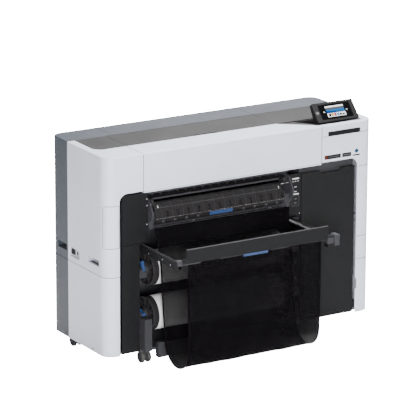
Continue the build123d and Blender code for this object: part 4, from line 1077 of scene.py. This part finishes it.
class PLOTTER_OT_front_prints(bpy.types.Operator):
    """Adds the plain name plate, the three labels, the symbol strip and the cover's slot lining"""
    bl_idname = "plotter.front_prints"
    bl_label = "Front Prints"

    def execute(self, context):
        self.plates()
        self.symbols()
        self.slot_lining()
        return {"FINISHED"}

    def plate(self, left, right, bottom, top, back=-0.02, radius=1.2, thick=PRINT):
        """A thin rounded plate on a face that looks to the front."""
        outline = rounded_outline((right - left) * MM, (top - bottom) * MM, radius * MM)
        return prism(outline, at((left + right) / 2, back, (bottom + top) / 2), (1, 0, 0), (0, 0, 1),
                     (0, -thick, 0))

    def plates(self):
        """A dark name plate without a name, two dark labels and a small diamond over a bar."""
        piece("name_plate", self.plate(1074, 1236, 866, 886, thick=1.0 * MM), "dark_label", "cabinet",
              bevel=0.3 * MM)
        labels = [self.plate(1058, 1140, 766, 783.5), self.plate(1147, 1192, 766, 783.5),
                  self.plate(1202, 1237, 764.5, 770.5)]
        piece("front_labels", joined(labels), "dark_label", "cabinet")
        block = [self.plate(1060.5, 1073, 768.5, 781, back=-0.3)]
        piece("front_label_block", joined(block), "red_print", "cabinet")
        lines = [self.plate(1078, 1134, 773.5, 776, back=-0.3, radius=0.8),
                 self.plate(1152, 1187, 772.5, 777, back=-0.3, radius=0.8)]
        piece("front_label_lines", joined(lines), "grey_print", "cabinet")
        diamond = np.array([(-12, 0), (0, -9), (12, 0), (0, 13)]) * MM
        piece("front_diamond", prism(diamond, at(1219.5, -0.02, 784), (1, 0, 0), (0, 0, 1), (0, -PRINT, 0)),
              "blue_print", "cabinet")

    def symbols(self):
        """The operating symbols on the right column, as plain bars and frames."""
        low, high = corners("column_right")
        base = at(0, 0, 0)
        left, right = (low[0] - base[0]) / MM, (high[0] - base[0]) / MM
        middle = (left + right) / 2 + 1
        face = 7.98
        pale = [self.plate(middle - 17, middle + 17, bottom, top, face)
                for bottom, top in ((699, 705), (632, 637))]
        pale += [self.plate(middle + dx - 3, middle + dx + 3, 689, 691.5, face, 0.6) for dx in (-12, 0, 12)]
        for bottom in (666, 646):
            pale.append(self.plate(middle - 6, middle + 6, bottom - 1.2, bottom + 1.2, face, 0.5))
        outer, inner = rounded_outline(36 * MM, 44 * MM, 2 * MM), rounded_outline(34 * MM, 42 * MM, 1.2 * MM)
        dim = [band(outer, inner, at(middle, face, 605), (1, 0, 0), (0, 0, 1), (0, -PRINT, 0))]
        for up, size in ((614, 7), (596, 7)):
            dim.append(band(rounded_outline(2 * size * MM, size * MM, 1.5 * MM),
                            rounded_outline((2 * size - 3) * MM, (size - 3) * MM, 0.8 * MM),
                            at(middle, face, up), (1, 0, 0), (0, 0, 1), (0, -PRINT, 0)))
            dim.append(self.plate(middle - 2, middle + 2, up - 1.2, up + 1.2, face, 0.6))
        dim.append(self.plate(left + 3, left + 5.5, 640, 652, face, 0.8))
        piece("column_symbols_pale", joined(pale), "pale_print", "cabinet")
        piece("column_symbols_dim", joined(dim), "grey_print", "cabinet")

    def slot_lining(self):
        """The black cup inside the cover's finger slot: a tray with thin walls."""
        left, right, front, back = 499.6, 618.4, 140.4, 151.6
        top, floor, wall = 908.6, 903.4, 0.6
        outer = np.array([(left, front), (right, front), (right, back), (left, back)]) * MM
        inner = np.array([(left + wall, front + wall), (right - wall, front + wall),
                          (right - wall, back - wall), (left + wall, back - wall)]) * MM
        walls = band(outer, inner, at(0, 0, floor), (1, 0, 0), (0, 1, 0), (0, 0, (top - floor) * MM))
        bed = rounded_box(at(left, front, floor - 0.2), at(right, back, floor + 0.5), 0.2 * MM, 1)
        piece("finger_slot_lining", joined([walls, bed]), "dark_label", "front_cover")


class PLOTTER_OT_control_display(bpy.types.Operator):
    """Adds the lit screen, the touch marks, the power symbol and the bezel of the control panel"""
    bl_idname = "plotter.control_display"
    bl_label = "Control Panel Display"

    def execute(self, context):
        self.up = np.array([0, cos(PANEL_TILT), sin(PANEL_TILT)])
        self.out = np.array([0, -sin(PANEL_TILT), cos(PANEL_TILT)])
        low, high = corners("panel_glass")
        self.glass = (low + high) / 2 + self.out * 0.8 * MM
        self.screen()
        self.marks()
        self.bezel(low, high)
        self.button()
        return {"FINISHED"}

    def screen(self):
        """A thin lit plate on the glass, mapped from corner to corner."""
        wide, tall = SCREEN
        across, up = np.meshgrid([-0.5, 0.5], [-0.5, 0.5])
        face = (self.glass + (across * wide)[..., None] * np.array([1.0, 0, 0])
                + (up * tall)[..., None] * self.up)
        face = face.reshape(-1, 3) + self.out * PRINT
        points = np.vstack([face, face - self.out * PRINT])
        faces = [[0, 1, 3, 2], [4, 6, 7, 5], [0, 4, 5, 1], [1, 5, 7, 3], [3, 7, 6, 2], [2, 6, 4, 0]]
        display = piece("screen_display", (points, faces), "screen_picture", "control_panel")
        offset = mesh_points(display.data) - self.glass
        places = np.stack([offset[:, 0] / wide + 0.5, offset @ self.up / tall + 0.5], -1)
        map_points(display.data, "Screen", places)

    def marks(self):
        """Two pale touch marks beside the screen: a small house shape and a ring."""
        house = np.array([(-3, -3), (3, -3), (3, 1), (0, 4), (-3, 1)]) * MM
        shapes = [prism(house, self.glass + np.array([-57 * MM, 0, 0]), (1, 0, 0), self.up, self.out * PRINT)]
        turn = np.arange(20) * 2 * pi / 20
        circle = np.stack([np.cos(turn), np.sin(turn)], -1)
        shapes.append(band(circle * 3.4 * MM, circle * 2.2 * MM, self.glass + np.array([57 * MM, 0, 0]),
                           (1, 0, 0), self.up, self.out * PRINT))
        piece("touch_marks", joined(shapes), "pale_print", "control_panel")

    def bezel(self, low, high):
        """A raised line round the glass."""
        wide, tall = high[0] - low[0], 70 * MM
        outer = rounded_outline(wide + 1.4 * MM, tall + 1.4 * MM, 2 * MM)
        inner = rounded_outline(wide, tall, 1.4 * MM)
        line = band(outer, inner, self.glass - self.out * 0.1 * MM, (1, 0, 0), self.up, self.out * 0.45 * MM)
        piece("glass_bezel", line, "dark_label", "control_panel")

    def button(self):
        """The power symbol on the round button, an arc with a gap and a bar, and a ring round it."""
        low, high = corners("power_button")
        face = (low + high) / 2 + self.out * 4.0 * MM
        turn = np.linspace(radians(125), radians(415), 26)
        arc = [np.stack([size * np.cos(turn), size * np.sin(turn)], -1) * MM for size in (2.6, 3.7)]
        outline = np.vstack([arc[0], arc[1][::-1]])
        bar = np.array([(-0.55, 0.8), (0.55, 0.8), (0.55, 4.4), (-0.55, 4.4)]) * MM
        shapes = [prism(outline, face, (1, 0, 0), self.up, self.out * PRINT),
                  prism(bar, face, (1, 0, 0), self.up, self.out * PRINT)]
        piece("power_symbol", joined(shapes), "pale_print", "panel_button")
        around = np.arange(40) * 2 * pi / 40
        circle = np.stack([np.cos(around), np.sin(around)], -1)
        ring = band(circle * 9.4 * MM, circle * 7.9 * MM, face - self.out * 1.1 * MM, (1, 0, 0), self.up,
                    self.out * 0.5 * MM)
        piece("power_button_ring", ring, "grey_print", "control_panel")


class PLOTTER_OT_side_fittings(bpy.types.Operator):
    """Adds the port inserts, the side and rear screws and the grips' inner ridges"""
    bl_idname = "plotter.side_fittings"
    bl_label = "Side Fittings"

    def execute(self, context):
        shapes = []
        for back in (241, 257):
            shapes.append(rounded_box(at(8.2, back - 4.2, 441), at(12.5, back + 4.2, 455), 0.8 * MM, 2))
            shapes.append(rounded_box(at(6.4, back - 1.1, 444), at(9, back + 1.1, 452), 0.4 * MM, 1))
        piece("data_port_inserts", joined(shapes), "dark_label", "cabinet")
        outer = rounded_outline(31 * MM, 24 * MM, 2.5 * MM)
        inner = rounded_outline(27.4 * MM, 20.4 * MM, 1.5 * MM)
        surround = band(outer, inner, at(8.0, 288, 448), (0, 1, 0), (0, 0, 1), (-1.6 * MM, 0, 0))
        piece("power_inlet_surround", surround, "black_plastic", "cabinet", bevel=0.4 * MM)
        ridges = []
        for left in (True, False):
            x0, x1 = (9, 20) if left else (1284, 1295)
            for front, span in ((60, 96), (335, 80)):
                ridges += [rounded_box(at(x0, front + 4, up), at(x1, front + span - 4, up + 1.4), 0.6 * MM, 1)
                           for up in (444.0, 467.2)]
        piece("grip_ridges", joined(ridges), "grey_print", "cabinet")
        screws = []
        for x, outward in ((-0.2, -1), (1304.2, 1)):
            screws += [screw(at(x, back, up), (outward, 0, 0), 3.4 * MM)
                       for back, up in ((112, 76), (349, 79))]
        for x in (30, 230, 560, 880, 1270):
            screws += [screw(at(x, 470.2, up), (0, 1, 0), 3.4 * MM) for up in (80, 590, 890)]
        piece("casing_screws", joined(screws), "dark_steel", "cabinet")
        return {"FINISHED"}


class PLOTTER_OT_caster_caps(bpy.types.Operator):
    """Adds the hub caps, rings and collars of the four casters"""
    bl_idname = "plotter.caster_caps"
    bl_label = "Caster Caps"

    def execute(self, context):
        for place in ("front_left", "front_right", "rear_left", "rear_right"):
            low, high = corners(f"caster_{place}_wheels")
            middle = (low + high) / 2
            radius = (high[2] - low[2]) / 2
            caps = []
            for face, sign in ((low[0], -1), (high[0], 1)):
                profile = [(0, -1), (15, -1), (15, 0.6), (13.5, 1.4), (7, 1.4), (6, 0.5), (4.5, 0.5),
                           (4, 1.8), (0, 1.8)]
                spot = np.array([face, middle[1], middle[2]])
                caps.append(lathe(np.array(profile) * MM, spot, (sign, 0, 0), 30))
                ring = [(18, -0.6), (19.5, -0.6), (19.5, 0.5), (18, 0.5), (18, -0.6)]
                caps.append(lathe(np.array(ring) * MM * radius / (25 * MM), spot, (sign, 0, 0), 36))
            piece(f"caster_{place}_caps", joined(caps), "black_plastic", f"wheels_{place}")
            plate_low, plate_high = corners(f"caster_{place}")
            stem = np.array([(plate_low[0] + plate_high[0]) / 2, plate_high[1] - 19 * MM, 57.2 * MM])
            collar = [(13, -4), (17, -3.5), (17.5, -1), (16, 0.2), (13, 0.2), (13, -4)]
            piece(f"caster_{place}_collar", lathe(np.array(collar) * MM, stem, (0, 0, 1), 36), "bright_steel",
                  f"swivel_{place}")
        return {"FINISHED"}


class PLOTTER_OT_rear_details(bpy.types.Operator):
    """Adds the vent louvres and the blank rating plate on the back"""
    bl_idname = "plotter.rear_details"
    bl_label = "Rear Details"

    def execute(self, context):
        low, high = corners("rear_panel")
        base = at(0, 0, 0)
        left, right = (low[0] - base[0]) / MM, (high[0] - base[0]) / MM
        louvre = [(470.0, 0), (472.4, -0.6), (472.6, 0.4), (470.6, 3.2), (470.0, 3.2)]
        shapes = [along_x([(back, 145 + row * 14 + up) for back, up in louvre], right - 198, right - 42)
                  for row in range(8)]
        piece("rear_louvres", joined(shapes), "rear_plastic", "cabinet")
        outline = rounded_outline(90 * MM, 55 * MM, 3 * MM)
        plate = prism(outline, at(left + 110, 470, 300), (1, 0, 0), (0, 0, 1), (0, 0.5 * MM, 0))
        piece("rear_rating_plate", plate, "grey_print", "cabinet")
        return {"FINISHED"}


class PLOTTER_OT_stage(bpy.types.Operator):
    """Sets the pale floor, the soft studio lights and the camera"""
    bl_idname = "plotter.stage"
    bl_label = "Stage"

    def execute(self, context):
        self.floor(context)
        self.lights(context)
        self.camera(context)
        return {"FINISHED"}

    def floor(self, context):
        """A wide pale disc that glows for the camera alone, so that it stays white; where it is seen through
        the cloth it does not glow and is painted dark grey, as painted shade inside the basket."""
        points, faces = lathe([(0, 0), (14, 0), (40, 0)], (0, 0, -0.0005), (0, 0, 1), 96)
        mesh = bpy.data.meshes.new("floor")
        mesh.from_pydata(points.tolist(), [], faces)
        floor = bpy.data.objects.new("floor", mesh)
        context.scene.collection.objects.link(floor)
        tree, shader = material("floor_paint")
        cloud = tree.noise(tree.place(), 0.7, 3.0)
        floor_tone = tree.mix(cloud, (0.8, 0.8, 0.8, 1), (0.84, 0.84, 0.84, 1))
        shader.inputs["Roughness"].default_value = 0.9
        glow = tree.add("ShaderNodeEmission", {"Color": (1, 1, 1, 1), "Strength": FLOOR_GLOW})
        path = tree.add("ShaderNodeLightPath").outputs
        bare = tree.math("LESS_THAN", path["Transparent Depth"], 0.5)
        share = tree.math("MULTIPLY", path["Is Camera Ray"], bare)
        # camera rays through the cloth: the floor there gets a 0.3 grey base and no glow, painted shade inside
        # the basket
        shaded_behind_cloth = tree.math("MULTIPLY", path["Is Camera Ray"], tree.math("SUBTRACT", 1.0, bare))
        connect(tree, shader, Base_Color=tree.mix(shaded_behind_cloth, floor_tone, (0.3, 0.3, 0.3, 1)))
        output = tree.tree.nodes["Material Output"]
        blend = tree.add("ShaderNodeMixShader", {0: share, 1: shader.outputs[0], 2: glow.outputs[0]})
        tree.tree.links.new(blend.outputs[0], output.inputs["Surface"])
        mesh.materials.append(bpy.data.materials["floor_paint"])

    def lights(self, context):
        """A pale sky and four soft panels; the key is small, for the highlight down the rounded corner."""
        world = bpy.data.worlds.new("studio")
        world.use_nodes = True
        sky = world.node_tree.nodes["Background"]
        sky.inputs["Color"].default_value = (0.93, 0.96, 1.0, 1.0)
        sky.inputs["Strength"].default_value = 0.16
        context.scene.world = world
        aim = Vector((0, 0, 0.5))
        panels = [("key", (-3.0, -5.5, 1.5), 1.1, 620.0), ("front_fill", (1.6, -5.4, 2.6), 3.0, 50.0),
                  ("top", (0.9, 0.5, 4.6), 3.0, 560.0), ("back_rim", (3.2, 4.0, 3.0), 3.0, 40.0)]
        for name, place, size, power in panels:
            panel = bpy.data.lights.new(name, "AREA")
            panel.size = size
            panel.energy = power
            light = bpy.data.objects.new(name, panel)
            light.location = place
            light.visible_camera = False
            light.rotation_euler = (aim - Vector(place)).to_track_quat("-Z", "Y").to_euler()
            context.scene.collection.objects.link(light)

    def camera(self, context):
        """A long lens turned by azimuth, elevation and roll, looking at a point inside the casing."""
        sizes = context.scene.plotter.sizes
        azimuth, elevation, roll = sizes.camera_azimuth, sizes.camera_elevation, sizes.camera_roll
        look = Vector((sin(azimuth) * cos(elevation), cos(azimuth) * cos(elevation), -sin(elevation)))
        level = Vector((cos(azimuth), -sin(azimuth), 0))
        above = level.cross(look)
        right = level * cos(roll) + above * sin(roll)
        above = above * cos(roll) - level * sin(roll)
        aim = Vector((-0.0812, 0.0401, 0.5857))
        lens = bpy.data.cameras.new("camera")
        lens.lens = sizes.lens
        lens.sensor_width = 36.0
        lens.clip_end = 100.0
        camera = bpy.data.objects.new("camera", lens)
        turn = Matrix((right, above, -look)).transposed()
        camera.matrix_world = Matrix.Translation(aim - look * sizes.camera_distance) @ turn.to_4x4()
        context.scene.collection.objects.link(camera)
        context.scene.camera = camera


OPERATORS = (PLOTTER_OT_stage, PLOTTER_OT_finishes, PLOTTER_OT_basket_cloth, PLOTTER_OT_basket_fittings,
             PLOTTER_OT_guide_details, PLOTTER_OT_bay_fittings, PLOTTER_OT_roll_details,
             PLOTTER_OT_seam_shade_strips, PLOTTER_OT_front_prints, PLOTTER_OT_control_display,
             PLOTTER_OT_side_fittings, PLOTTER_OT_caster_caps, PLOTTER_OT_rear_details)


class PLOTTER_PT_panel(bpy.types.Panel):
    """Lists the plotter's operators and settings"""
    bl_idname = "PLOTTER_PT_panel"
    bl_label = "Large Format Plotter"
    bl_space_type = "VIEW_3D"
    bl_region_type = "UI"
    bl_category = "Plotter"

    def draw(self, context):
        for operator in OPERATORS:
            self.layout.operator(operator.bl_idname)
        for settings in (context.scene.plotter.colours, context.scene.plotter.sizes):
            for name in settings.bl_rna.properties.keys():
                if name not in ("rna_type", "name"):
                    self.layout.prop(settings, name)


CLASSES = (PlotterColours, PlotterSizes, PlotterSettings, *OPERATORS, PLOTTER_PT_panel)


def register():
    """Adds the settings, the operators and the panel."""
    for entry in CLASSES:
        bpy.utils.register_class(entry)
    bpy.types.Scene.plotter = PointerProperty(type=PlotterSettings)


def unregister():
    """Takes them away again."""
    del bpy.types.Scene.plotter
    for entry in reversed(CLASSES):
        bpy.utils.unregister_class(entry)


def main():
    """Builds everything in order."""
    register()
    for operator in OPERATORS:
        group, name = operator.bl_idname.split(".")
        getattr(getattr(bpy.ops, group), name)()


if __name__ == "__main__":
    main()
